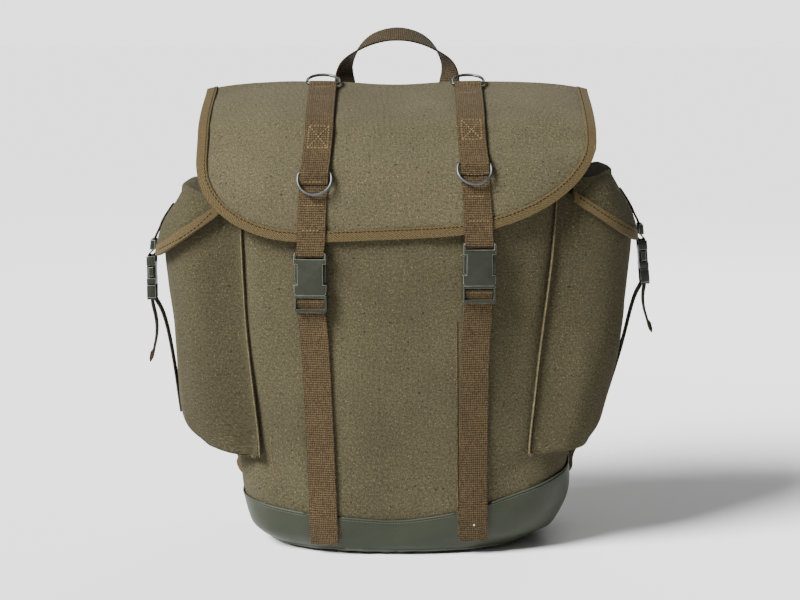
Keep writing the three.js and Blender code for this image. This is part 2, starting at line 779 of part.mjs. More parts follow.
function pocketHem(name, round) {
  const { lidHigh, lidLow } = POCKETS[name];
  return lerp(lidLow, lidHigh, Math.abs(1 - round) ** POCKET_HEM_POWER);
}

// A point of the pocket lid: up goes from 0 at the hem to 1 at the roof's edge.
function pocketLidPoint(name, round, z, above) {
  const { point, top, shareAt } = pocketForms[name];
  const share = shareAt(z);
  const down = (top - z) / (top - POCKETS[name].lidLow);
  const flare = POCKETS[name].flare * down * down;
  return point(round, share, pocketLidOutside + flare + above).setZ(z);
}

function pocketLid(name) {
  const { onBag, top } = pocketForms[name];
  const steps = [0, 0.13, 0.3, 0.55, 0.8, 0.92, 1];
  const grid = (above) => {
    const roof = top + pocketLidOutside + above;
    const rows = steps.map((up) =>
      POCKET_LID_ROUND.map((round) =>
        pocketLidPoint(name, round, lerp(pocketHem(name, round), roof, up), above),
      ),
    );
    const close = roof + POCKET_CLOSE_STEP;
    rows.push(
      POCKET_LID_ROUND.map((round) => onBag(round, 1, pocketLidOutside + above, close)),
    );
    return rows;
  };
  return wall(grid(0), grid(-CANVAS));
}

function pocketBinding(name) {
  const rings = POCKET_LID_ROUND.map((round) => {
    const hem = (r) => pocketLidPoint(name, r, pocketHem(name, r), 0);
    const step = 0.02;
    const slope = pocketHem(name, round + step) - pocketHem(name, round - step);
    const stretch = hem(round + step).distanceTo(hem(round - step));
    const run = Math.sqrt(Math.max(stretch * stretch - slope * slope, 1e-6));
    const longer = stretch / run;
    return tapeRing(
      (into, above) =>
        pocketLidPoint(name, round, pocketHem(name, round) + into * longer, above),
      CANVAS,
    );
  });
  return sweep(rings);
}

// Rows of points, and the webbing made from them

// A sheet of even thickness about rows of middle points.
function strip(rows, thickness) {
  const last = rows.length - 1;
  const edge = rows[0].length - 1;
  const shifted = (way) =>
    rows.map((row, i) =>
      row.map((p, j) => {
        const along = rows[Math.min(i + 1, last)][j].clone().sub(rows[Math.max(i - 1, 0)][j]);
        const across = row[Math.min(j + 1, edge)].clone().sub(row[Math.max(j - 1, 0)]);
        const out = along.cross(across).normalize();
        return p.clone().addScaledVector(out, (way * thickness) / 2);
      }),
    );
  return wall(shifted(1), shifted(-1));
}

const ACROSS = [-1, 0, 1];

// Rows of a straight run: [y, z] places in a local frame, as wide as the webbing.
function localRows(frame, places, width) {
  return places.map(([y, z]) =>
    ACROSS.map((t) => vec((t * width) / 2, y, z).applyMatrix4(frame)),
  );
}

// A turn round a bar, from one heading to another in half turns of five steps.
function turnRound(y, z, radiusY, radiusZ, from, to) {
  return range(6).map((i) => {
    const angle = lerp(from, to, i / 5);
    return [y + radiusY * Math.cos(angle), z + radiusZ * Math.sin(angle)];
  });
}

// A frame with its back at a point, its face turned outward and its top upward.
function frameOf(origin, out, up) {
  const z = up.clone().normalize();
  const y = out.clone().addScaledVector(z, -out.dot(z)).normalize().negate();
  const x = y.clone().cross(z);
  return new THREE.Matrix4().makeBasis(x, y, z).setPosition(origin);
}

// A point above the front of the bag.
function frontPoint(x, z, above) {
  const y = bodyFrontY(x, z);
  const slopeX = (bodyFrontY(x + 1, z) - bodyFrontY(x - 1, z)) / 2;
  const slopeZ = (bodyFrontY(x, z + 1) - bodyFrontY(x, z - 1)) / 2;
  return vec(x, y, z).addScaledVector(vec(slopeX, -1, slopeZ).normalize(), above);
}

// Side-release buckles

// The two halves of a buckle meet at z = 0; the socket is above, the plug below.
function buckleSizes(webbing) {
  const width = webbing + 2 * BUCKLE.earRoom;
  const scale = webbing / WEBBING_WIDTH;
  const body = BUCKLE.socketLength * scale;
  const barMiddle = body + BUCKLE.slot + BUCKLE.bar / 2;
  const frame = BUCKLE.plugFrame - 6 * (1 - scale);
  const depth = BUCKLE.thickness;
  return { width, scale, body, barMiddle, frame, depth, middle: -depth / 2 };
}

// A round bar along x, through a place in y and z.
function roundBar(halfLength, y, z) {
  const radius = BUCKLE.bar / 2;
  const bar = new THREE.CylinderGeometry(radius, radius, 2 * halfLength, 10);
  return bar.rotateZ(Math.PI / 2).translate(0, y, z);
}

function buckleSocket(webbing) {
  const { width, scale, body, barMiddle, depth, middle } = buckleSizes(webbing);
  const half = width / 2;
  const top = barMiddle + BUCKLE.bar / 2;
  const inside = webbing / 2 + 0.5;
  const outline = [
    [-half + 1.5, 0],
    [half - 1.5, 0],
    [half, 3],
    [half, top - 2],
    [half - 1, top],
    [-half + 1, top],
    [-half, top - 2],
    [-half, 3],
  ];
  const window = [BUCKLE.windowLow * scale, BUCKLE.windowHigh * scale];
  const sides = [-1, 1].map((side) =>
    block(
      [side * half - BUCKLE.windowDepth, side * half + BUCKLE.windowDepth],
      [-depth - 1, 1],
      window,
    ),
  );
  const shell = cut(
    plate(outline, -depth, 0),
    block([-half + 2.2, half - 2.2], [-depth + BUCKLE.wall, -BUCKLE.wall], [-1, body - 3]),
    block([-inside, inside], [-depth - 1, 1], [body, top + 1]),
    ...sides,
  );
  return join(shell, roundBar(inside + 0.5, middle, barMiddle));
}

function bucklePlug(webbing) {
  const { width, scale, frame, depth, middle } = buckleSizes(webbing);
  const half = width / 2;
  const inside = webbing / 2 + 0.5;
  const outline = [
    [-half + 2, -frame],
    [half - 2, -frame],
    [half, -frame + 2.5],
    [half, -0.4],
    [-half, -0.4],
    [-half, -frame + 2.5],
  ];
  const shell = cut(
    plate(outline, -depth, 0),
    block([-inside, inside], [-depth - 1, 1], [-frame + BUCKLE.bar, -BUCKLE.plugTop]),
    block([-inside, inside], [-depth + BUCKLE.barThickness, 1], [-frame - 1, 0]),
  );
  const inner = roundBar(inside + 0.5, middle, plugBar());
  const top = block([-half + 1, half - 1], [middle - 2, middle + 2], [-BUCKLE.plugTop, -0.4]);
  const prongs = [-1, 1].map((side) => {
    const outerLow = half - 3;
    const grip = half - 0.6;
    const low = BUCKLE.windowLow * scale + 0.5;
    const high = BUCKLE.windowHigh * scale - 0.5;
    const corners = [
      [side * (outerLow - 4), -1],
      [side * outerLow, -1],
      [side * outerLow, low],
      [side * grip, low + 2],
      [side * grip, high - 2],
      [side * outerLow, high],
      [side * (outerLow - 3), high],
      [side * (outerLow - 3), low],
      [side * (outerLow - 4), 4],
    ];
    return plate(side < 0 ? corners.reverse() : corners, middle - 2.4, middle + 2.4);
  });
  return join(shell, inner, top, ...prongs);
}

// Height of the middle of the plug's inner bar, that the webbing turns over.
function plugBar() {
  return -BUCKLE.plugTop - WEBBING - 2 * WEBBING_ROOM - BUCKLE.bar / 2;
}

// Webbing round a plug's inner bar, from its back strand to its front strand.
function plugLoop(webbing) {
  const { frame, middle } = buckleSizes(webbing);
  const barMiddle = plugBar();
  const low = barMiddle - BUCKLE.bar / 2;
  const reach = BUCKLE.bar / 2 + WEBBING_ROOM + WEBBING / 2;
  const behindBar = -BUCKLE.thickness + BUCKLE.barThickness + WEBBING_ROOM + WEBBING / 2;
  return [
    [middle + reach, -frame],
    [middle + reach, low],
    ...turnRound(middle, barMiddle, reach, reach, 0, Math.PI),
    [lerp(middle - reach, behindBar, 0.4), low - 1],
    [behindBar, -frame + BUCKLE.bar + 0.8],
    [behindBar, -frame],
  ];
}

// Webbing round a socket's bar, coming down its front and turned up behind it.
function socketLoop(webbing, tail) {
  const { barMiddle, middle } = buckleSizes(webbing);
  const reach = BUCKLE.bar / 2 + WEBBING_ROOM + WEBBING / 2;
  return [
    [middle - reach, barMiddle + 4],
    ...turnRound(middle, barMiddle, reach, reach, Math.PI, 2 * Math.PI),
    [middle + reach, barMiddle + 4],
    [middle + reach, barMiddle + tail],
  ];
}

// Straps over the lid and down the front

const strapShare = { left: column(STRAP_RUN, "left"), right: column(STRAP_RUN, "right") };
const strapX = (name, z) => (strapShare[name](z / BODY_HEIGHT) * BODY_WIDTH) / 2;

// Rows on the lid: places [s, above] along its middle line.
function lidRows(name, places, width) {
  return places.map(([s, above]) => {
    const x = strapX(name, lidSurface(0, s).z);
    return ACROSS.map((t) => lidPoint(x + (t * width) / 2, s, above));
  });
}

const hemOf = (name) => lidEdge(strapX(name, LID_HEM_HEIGHT));
const ringPlace = (name) => hemOf(name) - RING_HEM_SHARE * (hemAt - lidFold);
const topRingPlace = crestAt + RING_BEFORE_CREST;

// Heights of a ring's bar and of webbing under and over it, above the lid.
const firstLayer = SEW_GAP + WEBBING / 2;
const secondLayer = firstLayer + WEBBING + WEBBING_ROOM;
const barAbove = firstLayer + WEBBING / 2 + WEBBING_ROOM + RING_WIRE / 2;
const overBar = barAbove + RING_WIRE / 2 + WEBBING_ROOM + WEBBING / 2;

function buckleFrame(name) {
  const x = strapX(name, LID_HEM_HEIGHT - HEM_TO_BUCKLE);
  const z = lidPoint(x, lidEdge(x)).z - HEM_TO_BUCKLE;
  const origin = frontPoint(x, z, BUCKLE_LIFT);
  const out = origin.clone().sub(frontPoint(x, z, 0));
  const above = frontPoint(strapX(name, z + 40), z + 40, 0);
  const below = frontPoint(strapX(name, z - 20), z - 20, 0);
  return frameOf(origin, out, above.sub(below));
}

// Places along the lid that all its webbing shares, so that its layers keep apart.
function sharedPlaces(from, to) {
  const step = 9;
  const first = Math.ceil(from / step);
  const count = Math.max(Math.floor(to / step) - first + 1, 0);
  return range(count).map((i) => (first + i) * step);
}

function overlayStrap(name) {
  const top = topRingPlace;
  const ring = ringPlace(name);
  const turn = overBar - barAbove;
  const fold = turnRound(top, barAbove, turn, turn, -Math.PI / 2, (-3 * Math.PI) / 2);
  const places = [[top + OVERLAY_FOLD, firstLayer], [top + 7, firstLayer], ...fold];
  places.push([top + 5, lerp(secondLayer, overBar, 0.7)], [top + 9, secondLayer + 1]);
  places.push([top + 14, secondLayer]);
  sharedPlaces(top + 16, ring - 15).forEach((s) => places.push([s, secondLayer]));
  const hill = [
    [-13, 0],
    [-7, 0.3],
    [-3.6, 0.85],
    [0, 1],
    [3.6, 0.85],
    [7, 0.3],
    [OVERLAY_TAIL, 0],
  ];
  hill.forEach(([ds, up]) => places.push([ring + ds, lerp(secondLayer, overBar, up)]));
  return strip(lidRows(name, places, WEBBING_WIDTH), WEBBING);
}

function lidStrap(name) {
  const start = topRingPlace + OVERLAY_FOLD + 2;
  const end = hemOf(name);
  const overTape = TAPE_GAP + TAPE + WEBBING_ROOM + WEBBING / 2;
  const flat = sharedPlaces(start + 2, end - TAPE_WIDTH - 13);
  const places = [start, ...flat, end - TAPE_WIDTH - 11.5].map((s) => [s, firstLayer]);
  places.push([end - TAPE_WIDTH - 7, overTape], [end - 7, overTape], [end + 3, overTape]);
  return strip(
    [
      ...lidRows(name, places, WEBBING_WIDTH),
      ...localRows(buckleFrame(name), socketLoop(WEBBING_WIDTH, 7), WEBBING_WIDTH),
    ],
    WEBBING,
  );
}

function bodyStrap(name) {
  const frame = buckleFrame(name);
  const { frame: length } = buckleSizes(WEBBING_WIDTH);
  const loop = localRows(frame, plugLoop(WEBBING_WIDTH), WEBBING_WIDTH);
  const low = vec(0, 0, -length).applyMatrix4(frame).z;
  const edge = bootEdge(strapX(name, BOOT_HEIGHT));
  const overBoot = SEW_GAP + COATED_CLOTH + WEBBING_ROOM + WEBBING / 2;
  const rowsAt = (places) =>
    places.map(([z, above]) =>
      ACROSS.map((t) => frontPoint(strapX(name, z) + (t * WEBBING_WIDTH) / 2, z, above)),
    );
  const tail = rowsAt([
    [low - 30, firstLayer],
    [low - 12, firstLayer],
  ]);
  const runs = 9;
  const places = [
    [low - 10, secondLayer + 0.6],
    [low - 28, secondLayer],
    [low - 42, firstLayer],
  ];
  for (let i = 1; i < runs; i++) {
    places.push([lerp(low - 42, edge + 8, i / (runs - 1)), firstLayer]);
  }
  places.push([edge + 2, overBoot]);
  for (const row of BOOT_ROWS.slice(1, 4)) {
    places.push([lerp(row.fixed, edge, row.share), overBoot]);
  }
  if (STRAP_FEET[name] < CANVAS_HEM_HEIGHT) places.push([STRAP_FEET[name], overBoot]);
  return strip([...tail, ...loop, ...rowsAt(places)], WEBBING);
}

// D-rings: a bar along x with the bow below it, bent from round wire.
function dRing(frame) {
  const half = WEBBING_WIDTH / 2 + RING_SIDE_ROOM + RING_WIRE / 2;
  const leg = RING_REACH * RING_LEG_SHARE;
  const bend = 3;
  const places = [
    [-half + bend, 0],
    [half - bend, 0],
    [half - bend * 0.3, -bend * 0.3],
  ];
  const bow = 11;
  for (let i = 0; i <= bow; i++) {
    const angle = (i / bow) * Math.PI;
    places.push([half * Math.cos(angle), -leg - (RING_REACH - leg) * Math.sin(angle)]);
  }
  places.push([-half + bend * 0.3, -bend * 0.3]);
  const count = places.length;
  const rings = places.map(([x, z], i) => {
    const before = places[(i + count - 1) % count];
    const after = places[(i + 1) % count];
    const side = new THREE.Vector2(after[1] - before[1], before[0] - after[0]).normalize();
    return range(RING_WIRE_SIDES).map((k) => {
      const angle = ((k + 0.5) / RING_WIRE_SIDES) * 2 * Math.PI;
      const in2 = (Math.cos(angle) * RING_WIRE) / 2;
      const y = (Math.sin(angle) * RING_WIRE) / 2;
      return vec(x + side.x * in2, y, z + side.y * in2).applyMatrix4(frame);
    });
  });
  return sweep(rings, true);
}

// The frame of a ring on the lid, its bow away from its bar down or up the lid.
function ringFrame(name, s, way, tilt) {
  const x = strapX(name, lidSurface(0, s).z);
  const origin = lidPoint(x, s, barAbove);
  const out = lidNormal(x, s);
  const bow = lidSurface(x, s + way).sub(lidSurface(x, s - way)).normalize();
  const across = bow.clone().cross(out);
  const turned = (v) => v.clone().applyAxisAngle(across, THREE.MathUtils.degToRad(tilt));
  return frameOf(origin, turned(out), turned(bow).negate());
}

// Carry handle

function carryHandle() {
  const half = HANDLE_SPACING / 2;
  const thickness = WEBBING * 1.5;
  const rear = LID_TOP[0].y * BACK_DEPTH + lidOutside;
  const skin = WEBBING_ROOM + thickness / 2;
  const crest = BODY_HEIGHT + 47;
  const seat = BODY_HEIGHT;
  const foot = [
    vec(-half, rear + skin - 0.55, seat - 6),
    vec(-half, rear + skin + 0.15, seat + HANDLE_FOOT * 0.7),
  ];
  const arch = HANDLE_ARCH.map(({ x, back, rise }) =>
    vec(-x * half, rear + back, crest + rise * HANDLE_RISE),
  );
  const leftSide = [...foot, ...arch.slice(0, -1)];
  const rightSide = leftSide.map((p) => vec(-p.x, p.y, p.z)).reverse();
  const path = pathOf([...leftSide, arch[arch.length - 1], ...rightSide], 40);
  const twist = column(HANDLE_TWIST, "degrees", "along");
  const across = (u) => {
    const i = Math.round(u * (path.length - 1));
    const along = path[Math.min(i + 1, path.length - 1)].clone().sub(path[Math.max(i - 1, 0)]);
    const outward = along.normalize().cross(vec(0, 1, 0));
    const turn = THREE.MathUtils.degToRad(twist(Math.min(u, 1 - u)));
    return vec(0, Math.cos(turn), 0).addScaledVector(outward, Math.sin(turn));
  };
  return band(path, across, HANDLE_WEBBING_WIDTH, thickness);
}

// Shoulder straps

function padPath(side) {
  const back = (z) => bodySize(z).back;
  const skin = SEW_GAP + PAD_THICKNESS / 2;
  const top = BODY_HEIGHT - PAD_BELOW_RIM;
  const low = PAD_END_HEIGHT;
  const at = (share, out, height) =>
    vec(
      (side * lerp(PAD_TOP_SPACING, PAD_END_SPACING, share)) / 2,
      back(height) + skin + out * PAD_BULGE,
      height,
    );
  const drop = top - low;
  return pathOf(
    [
      at(0, 0, top),
      at(0, 0.06, top - drop * 0.06),
      at(0.05, 0.5, top - drop * 0.17),
      at(0.22, 0.93, top - drop * 0.38),
      at(0.52, 1, top - drop * 0.62),
      at(0.8, 0.9, top - drop * 0.83),
      at(1, 0.76, low),
    ],
    14,
  );
}

const PAD_SECTION = [
  [-0.5, -0.24],
  [-0.45, -0.5],
  [0.45, -0.5],
  [0.5, -0.24],
  [0.5, 0.24],
  [0.45, 0.5],
  [-0.45, 0.5],
  [-0.5, 0.24],
];

function shoulderPad(side) {
  const path = padPath(side);
  const rings = path.map((p, i) => {
    const along = path[Math.min(i + 1, path.length - 1)].clone().sub(path[Math.max(i - 1, 0)]);
    along.normalize();
    const out = vec(0, 1, 0).addScaledVector(along, -along.y).normalize();
    const across = out.clone().cross(along);
    return PAD_SECTION.map(([a, b]) =>
      p
        .clone()
        .addScaledVector(across, a * PAD_WIDTH)
        .addScaledVector(out, b * PAD_THICKNESS),
    );
  });
  return sweep(rings);
}

// The frame at the pad's lower end, its face turned away from the bag.
function padEndFrame(side) {
  const path = padPath(side);
  const end = path[path.length - 1];
  const up = path[path.length - 2].clone().sub(end);
  return frameOf(end, vec(0, 1, 0), up);
}

const tabBar = -8;
const adjusterBar = tabBar - (ADJUSTER.length - ADJUSTER.bar) / 2;

function shoulderTab(side) {
  const reach = PAD_THICKNESS / 2 + WEBBING_ROOM + WEBBING / 2;
  const turn = ADJUSTER.bar / 2 + WEBBING_ROOM + WEBBING / 2;
  const places = [
    [-reach, 24],
    [-reach, 1],
    ...turnRound(0, tabBar, turn, turn, Math.PI, 2 * Math.PI),
    [reach, 1],
    [reach, 24],
  ];
  return strip(localRows(padEndFrame(side), places, WEBBING_WIDTH), WEBBING);
}

function shoulderAdjuster(side) {
  const half = WEBBING_WIDTH / 2 + 0.5;
  const thick = ADJUSTER.thickness / 2;
  const top = tabBar + ADJUSTER.bar / 2;
  const low = top - ADJUSTER.length;
  const cheeks = [-1, 1].map((way) => {
    const edges = [way * half, way * (half + ADJUSTER.cheek)].sort((a, b) => a - b);
    return block(edges, [-thick, thick], [low, top]);
  });
  const bars = [tabBar, adjusterBar, low + ADJUSTER.bar / 2].map((z) =>
    roundBar(half + 0.5, 0, z),
  );
  return join(...cheeks, ...bars).applyMatrix4(padEndFrame(side));
}

function shoulderWebbing(side) {
  const frame = padEndFrame(side);
  const reach = ADJUSTER.thickness / 2 + WEBBING_ROOM + WEBBING / 2;
  const low = adjusterBar - ADJUSTER.length / 2;
  const loop = localRows(
    frame,
    [
      [-reach, low - 46],
      [-reach, low - 22],
      [-reach, adjusterBar - 3],
      ...turnRound(0, adjusterBar, reach, reach, Math.PI, 0),
      [reach, adjusterBar - 3],
      [reach, low - 2],
    ],
    WEBBING_WIDTH,
  );
  const z = ANCHOR_HEIGHT;
  const size = bodySize(z, SEW_GAP + COATED_CLOTH + WEBBING_ROOM + WEBBING / 2);
  const half = side < 0 ? size.left : size.right;
  const onCorner = (x, up) =>
    vec(side * x, size.back * superellipse(x / half, BACK_ROUNDNESS) + 0.5, z + up);
  const path = pathOf(
    [
      vec(0, reach, low - 10).applyMatrix4(frame),
      vec(side * (half - 30), size.back + 34, z + 74),
      vec(side * (half + 6), size.back + 20, z + 34),
      vec(side * (half + 12), size.back + 6, z + 8),
      vec(side * (half - 2), size.back - 6, z - 3),
      onCorner(half - 22, -4),
      onCorner(half - 40, -4),
    ],
    18,
  );
  const face = vec(1, 0, 0).transformDirection(frame);
  const rows = path.map((p, i) => {
    const along = path[Math.min(i + 1, path.length - 1)].clone().sub(path[Math.max(i - 1, 0)]);
    along.normalize();
    const turn = smooth(0.3, 0.8, i / (path.length - 1));
    const across = face.clone().lerp(vec(0, 0, face.x * side < 0 ? -1 : 1), turn);
    across.addScaledVector(along, -across.dot(along)).normalize();
    return ACROSS.map((t) => p.clone().addScaledVector(across, (t * WEBBING_WIDTH) / 2));
  });
  return strip([...loop, ...rows], WEBBING);
}

// Straps and buckles of the side pockets

const pocketBuckleHeight = (name) => POCKETS[name].lidLow - POCKET_HEM_TO_BUCKLE;

function pocketFace(name, z, above) {
  const { point, shareAt } = pocketForms[name];
  return point(1, shareAt(z), above).setZ(z);
}

function pocketBuckleFrame(name) {
  const { side, buckleLift } = POCKETS[name];
  const z = pocketBuckleHeight(name);
  const lean = THREE.MathUtils.degToRad(-side * POCKET_BUCKLE_LEAN[name]);
  const up = vec(0, 0, 1).applyAxisAngle(vec(0, 1, 0), lean);
  return frameOf(pocketFace(name, z, buckleLift), vec(side, 0, 0), up);
}

// Rows beside a pocket's outer face: places [z, above].
function pocketRows(name, places, pointAt) {
  const { side } = POCKETS[name];
  return places.map(([z, above]) => {
    const p = pointAt(z, above);
    return ACROSS.map((t) => vec(p.x, p.y + (side * t * POCKET_WEBBING_WIDTH) / 2, p.z));
  });
}

function keeperHeight(name) {
  return POCKETS[name].lidLow + 3 + KEEPER.height / 2;
}

const keeperMiddle = TAPE_GAP + TAPE + SEW_GAP + KEEPER.wall + WEBBING_ROOM + WEBBING / 2;

function pocketStrap(name) {
  const { lidLow, top } = POCKETS[name];
  const keeper = keeperHeight(name);
  const overTape = TAPE_GAP + TAPE + WEBBING_ROOM + WEBBING / 2;
  const pointAt = (z, above) => pocketLidPoint(name, 1, z, above);
  const places = [
    ...range(6).map((i) => [lerp(top - 14, keeper + 18, i / 5), firstLayer + 0.2]),
    [keeper + KEEPER.height / 2, keeperMiddle],
    [keeper - KEEPER.height / 2, keeperMiddle],
    [lidLow + 1, Math.max(overTape, keeperMiddle)],
  ];
  const loop = socketLoop(POCKET_WEBBING_WIDTH, 3.8);
  return strip(
    [
      ...pocketRows(name, places, pointAt),
      ...localRows(pocketBuckleFrame(name), loop, POCKET_WEBBING_WIDTH),
    ],
    WEBBING,
  );
}

function pocketKeeper(name) {
  const half = POCKET_WEBBING_WIDTH / 2 + 0.5;
  const room = WEBBING / 2 + WEBBING_ROOM;
  const thick = room + KEEPER.wall;
  const high = KEEPER.height / 2;
  const loop = cut(
    block([-half - KEEPER.wall, half + KEEPER.wall], [-thick, thick], [-high, high]),
    block([-half, half], [-room, room], [-high - 1, high + 1]),
  );
  const z = keeperHeight(name);
  const top = pocketLidPoint(name, 1, z + high, keeperMiddle);
  const low = pocketLidPoint(name, 1, z - high, keeperMiddle);
  const frame = frameOf(
    top.clone().lerp(low, 0.5),
    vec(POCKETS[name].side, 0, 0),
    top.clone().sub(low),
  );
  return loop.applyMatrix4(frame);
}

function pocketLowerStrap(name) {
  const { side, buckleLift: off } = POCKETS[name];
  const { low: tailLow, sway } = POCKET_TAILS[name];
  const frame = pocketBuckleFrame(name);
  const { frame: length } = buckleSizes(POCKET_WEBBING_WIDTH);
  const loop = localRows(frame, plugLoop(POCKET_WEBBING_WIDTH), POCKET_WEBBING_WIDTH);
  const low = vec(0, 0, -length).applyMatrix4(frame);
  const strapAt = (z, above) => pocketFace(name, z, above);
  const foot = POCKET_STRAP_FOOT;
  const seam = lerp(foot, low.z, 0.2);
  const run = pocketRows(
    name,
    [
      [foot, firstLayer],
      [lerp(foot, seam, 0.5), firstLayer],
      [seam, firstLayer + 0.3],
      [lerp(seam, low.z, 0.25), firstLayer + off * 0.12],
      [lerp(seam, low.z, 0.5), firstLayer + off * 0.3],
      [lerp(seam, low.z, 0.75), off * 0.62],
      [low.z - 8, off * 0.92],
    ],
    strapAt,
  );
  const hang = low.clone();
  hang.x += side * (BUCKLE.thickness * 0.45);
  const fold = WEBBING + WEBBING_ROOM;
  const last = sway.length - 1;
  const slant = (sway[last] - sway[last - 1]) * 0.8;
  const end = sway[last] + slant;
  const tail = pocketRows(
    name,
    [
      ...sway.map((out, i) => [lerp(low.z - 7, tailLow + 12, i / (sway.length - 1)), out]),
      [tailLow + 2, end],
      [tailLow, end + fold * 0.5],
      [tailLow + 2, end + fold],
      [tailLow + 11, end - slant + fold],
    ],
    (z, above) => vec(hang.x + side * above, hang.y, z),
  );
  return strip([...run, ...loop, ...tail], WEBBING);
}

// The whole rucksack

const COLOURS = {
  canvas: 0x6e6548,
  lidCanvas: 0x8a8368,
  pocketCanvas: 0x5f5740,
  boot: 0x555b4b,
  tape: 0x7b6240,
  webbing: 0x857048,
  darkWebbing: 0x5a4a30,
  plastic: 0x4d5048,
  steel: 0x9a9f9b,
  pad: 0x625a44,
};

const rucksack = new THREE.Group();
rucksack.name = "canvas_rucksack";

function piece(name, geometry, color, roughness, metalness = 0) {
  const material = new THREE.MeshStandardMaterial({ color, roughness, metalness });
  material.name = name;
  const mesh = new THREE.Mesh(geometry, material);
  mesh.name = name;
  rucksack.add(mesh);
}

piece("main_bag", mainBag(), COLOURS.canvas, 0.92);
piece("boot", boot(), COLOURS.boot, 0.5);
piece("lid", lid(), COLOURS.lidCanvas, 0.92);
piece("lid_binding", lidBinding(), COLOURS.tape, 0.85);
piece("carry_handle", carryHandle(), COLOURS.darkWebbing, 0.85);

for (const name of ["left", "right"]) {
  const { side } = POCKETS[name];
  const front = buckleFrame(name);
  const pocketBuckle = pocketBuckleFrame(name);
  const ring = ringFrame(name, ringPlace(name), 1, LOW_RING_TILT);
  const topRing = ringFrame(name, topRingPlace, -1, TOP_RING_TILT);
  piece(`overlay_strap_${name}`, overlayStrap(name), COLOURS.webbing, 0.85);
  piece(`lid_strap_${name}`, lidStrap(name), COLOURS.webbing, 0.85);
  piece(`body_strap_${name}`, bodyStrap(name), COLOURS.webbing, 0.85);
  piece(`top_ring_${name}`, dRing(topRing), COLOURS.steel, 0.35, 1);
  piece(`d_ring_${name}`, dRing(ring), COLOURS.steel, 0.35, 1);
  piece(
    `buckle_socket_${name}`,
    buckleSocket(WEBBING_WIDTH).applyMatrix4(front),
    COLOURS.plastic,
    0.45,
  );
  piece(
    `buckle_plug_${name}`,
    bucklePlug(WEBBING_WIDTH).applyMatrix4(front),
    COLOURS.plastic,
    0.45,
  );
  piece(`pocket_${name}`, pocket(name), COLOURS.pocketCanvas, 0.92);
  piece(`pocket_lid_${name}`, pocketLid(name), COLOURS.pocketCanvas, 0.92);
  piece(`pocket_lid_binding_${name}`, pocketBinding(name), COLOURS.tape, 0.85);
  piece(`pocket_strap_${name}`, pocketStrap(name), COLOURS.darkWebbing, 0.85);
  piece(`pocket_keeper_${name}`, pocketKeeper(name), COLOURS.plastic, 0.45);
  piece(
    `pocket_buckle_socket_${name}`,
    buckleSocket(POCKET_WEBBING_WIDTH).applyMatrix4(pocketBuckle),
    COLOURS.plastic,
    0.45,
  );
  piece(
    `pocket_buckle_plug_${name}`,
    bucklePlug(POCKET_WEBBING_WIDTH).applyMatrix4(pocketBuckle),
    COLOURS.plastic,
    0.45,
  );
  piece(`pocket_lower_strap_${name}`, pocketLowerStrap(name), COLOURS.darkWebbing, 0.85);
  piece(`shoulder_strap_${name}`, shoulderPad(side), COLOURS.pad, 0.92);
  piece(`shoulder_tab_${name}`, shoulderTab(side), COLOURS.webbing, 0.85);
  piece(`shoulder_adjuster_${name}`, shoulderAdjuster(side), COLOURS.plastic, 0.45);
  piece(`shoulder_webbing_${name}`, shoulderWebbing(side), COLOURS.webbing, 0.85);
}

export default rucksack;
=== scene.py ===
import heapq
import math
import bpy
from mathutils import Matrix, Vector, noise
from mathutils.bvhtree import BVHTree


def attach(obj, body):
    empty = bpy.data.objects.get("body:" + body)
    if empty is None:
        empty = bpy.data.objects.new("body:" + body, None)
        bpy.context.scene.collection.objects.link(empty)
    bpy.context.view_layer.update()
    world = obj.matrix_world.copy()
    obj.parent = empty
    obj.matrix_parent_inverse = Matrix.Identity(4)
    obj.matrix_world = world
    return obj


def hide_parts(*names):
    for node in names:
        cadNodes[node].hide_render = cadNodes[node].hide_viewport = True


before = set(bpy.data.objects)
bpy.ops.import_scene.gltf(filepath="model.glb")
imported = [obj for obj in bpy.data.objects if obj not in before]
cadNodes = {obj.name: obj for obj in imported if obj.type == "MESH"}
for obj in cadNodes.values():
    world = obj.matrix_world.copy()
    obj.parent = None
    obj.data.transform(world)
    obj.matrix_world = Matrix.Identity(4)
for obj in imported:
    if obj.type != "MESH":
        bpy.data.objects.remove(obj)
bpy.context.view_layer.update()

mm = 0.001

# camera at the photograph's angle: in front, a little above
photo = dict(width=800, height=600)
view = dict(distance=2.2, elevation=8.5, lens=93.7, sensor=36, aim=(0.0032, -0.118, 0.2825))


def placeCamera():
    tilt = math.radians(view["elevation"])
    camera = bpy.data.objects.new("camera", bpy.data.cameras.new("camera"))
    bpy.context.scene.collection.objects.link(camera)
    back = Vector((0, -math.cos(tilt), math.sin(tilt)))
    camera.location = Vector(view["aim"]) + view["distance"] * back
    camera.rotation_euler = (math.pi / 2 - tilt, 0, 0)
    camera.data.lens = view["lens"]
    camera.data.sensor_width = view["sensor"]
    bpy.context.scene.camera = camera
    return camera


camera = placeCamera()
bpy.context.view_layer.update()


# the line of sight through a place of the photograph
def sightLine(px, py):
    scale = view["sensor"] / view["lens"] / photo["width"]
    x = (px - photo["width"] / 2) * scale
    y = (photo["height"] / 2 - py) * scale
    turn = camera.matrix_world.to_3x3()
    return camera.matrix_world.translation, (turn @ Vector((x, y, -1))).normalized()


# small tools for meshes

def pick(piece):
    bpy.ops.object.select_all(action="DESELECT")
    piece.select_set(True)
    bpy.context.view_layer.objects.active = piece


def applyModifiers(piece):
    pick(piece)
    for modifier in list(piece.modifiers):
        bpy.ops.object.modifier_apply(modifier=modifier.name)


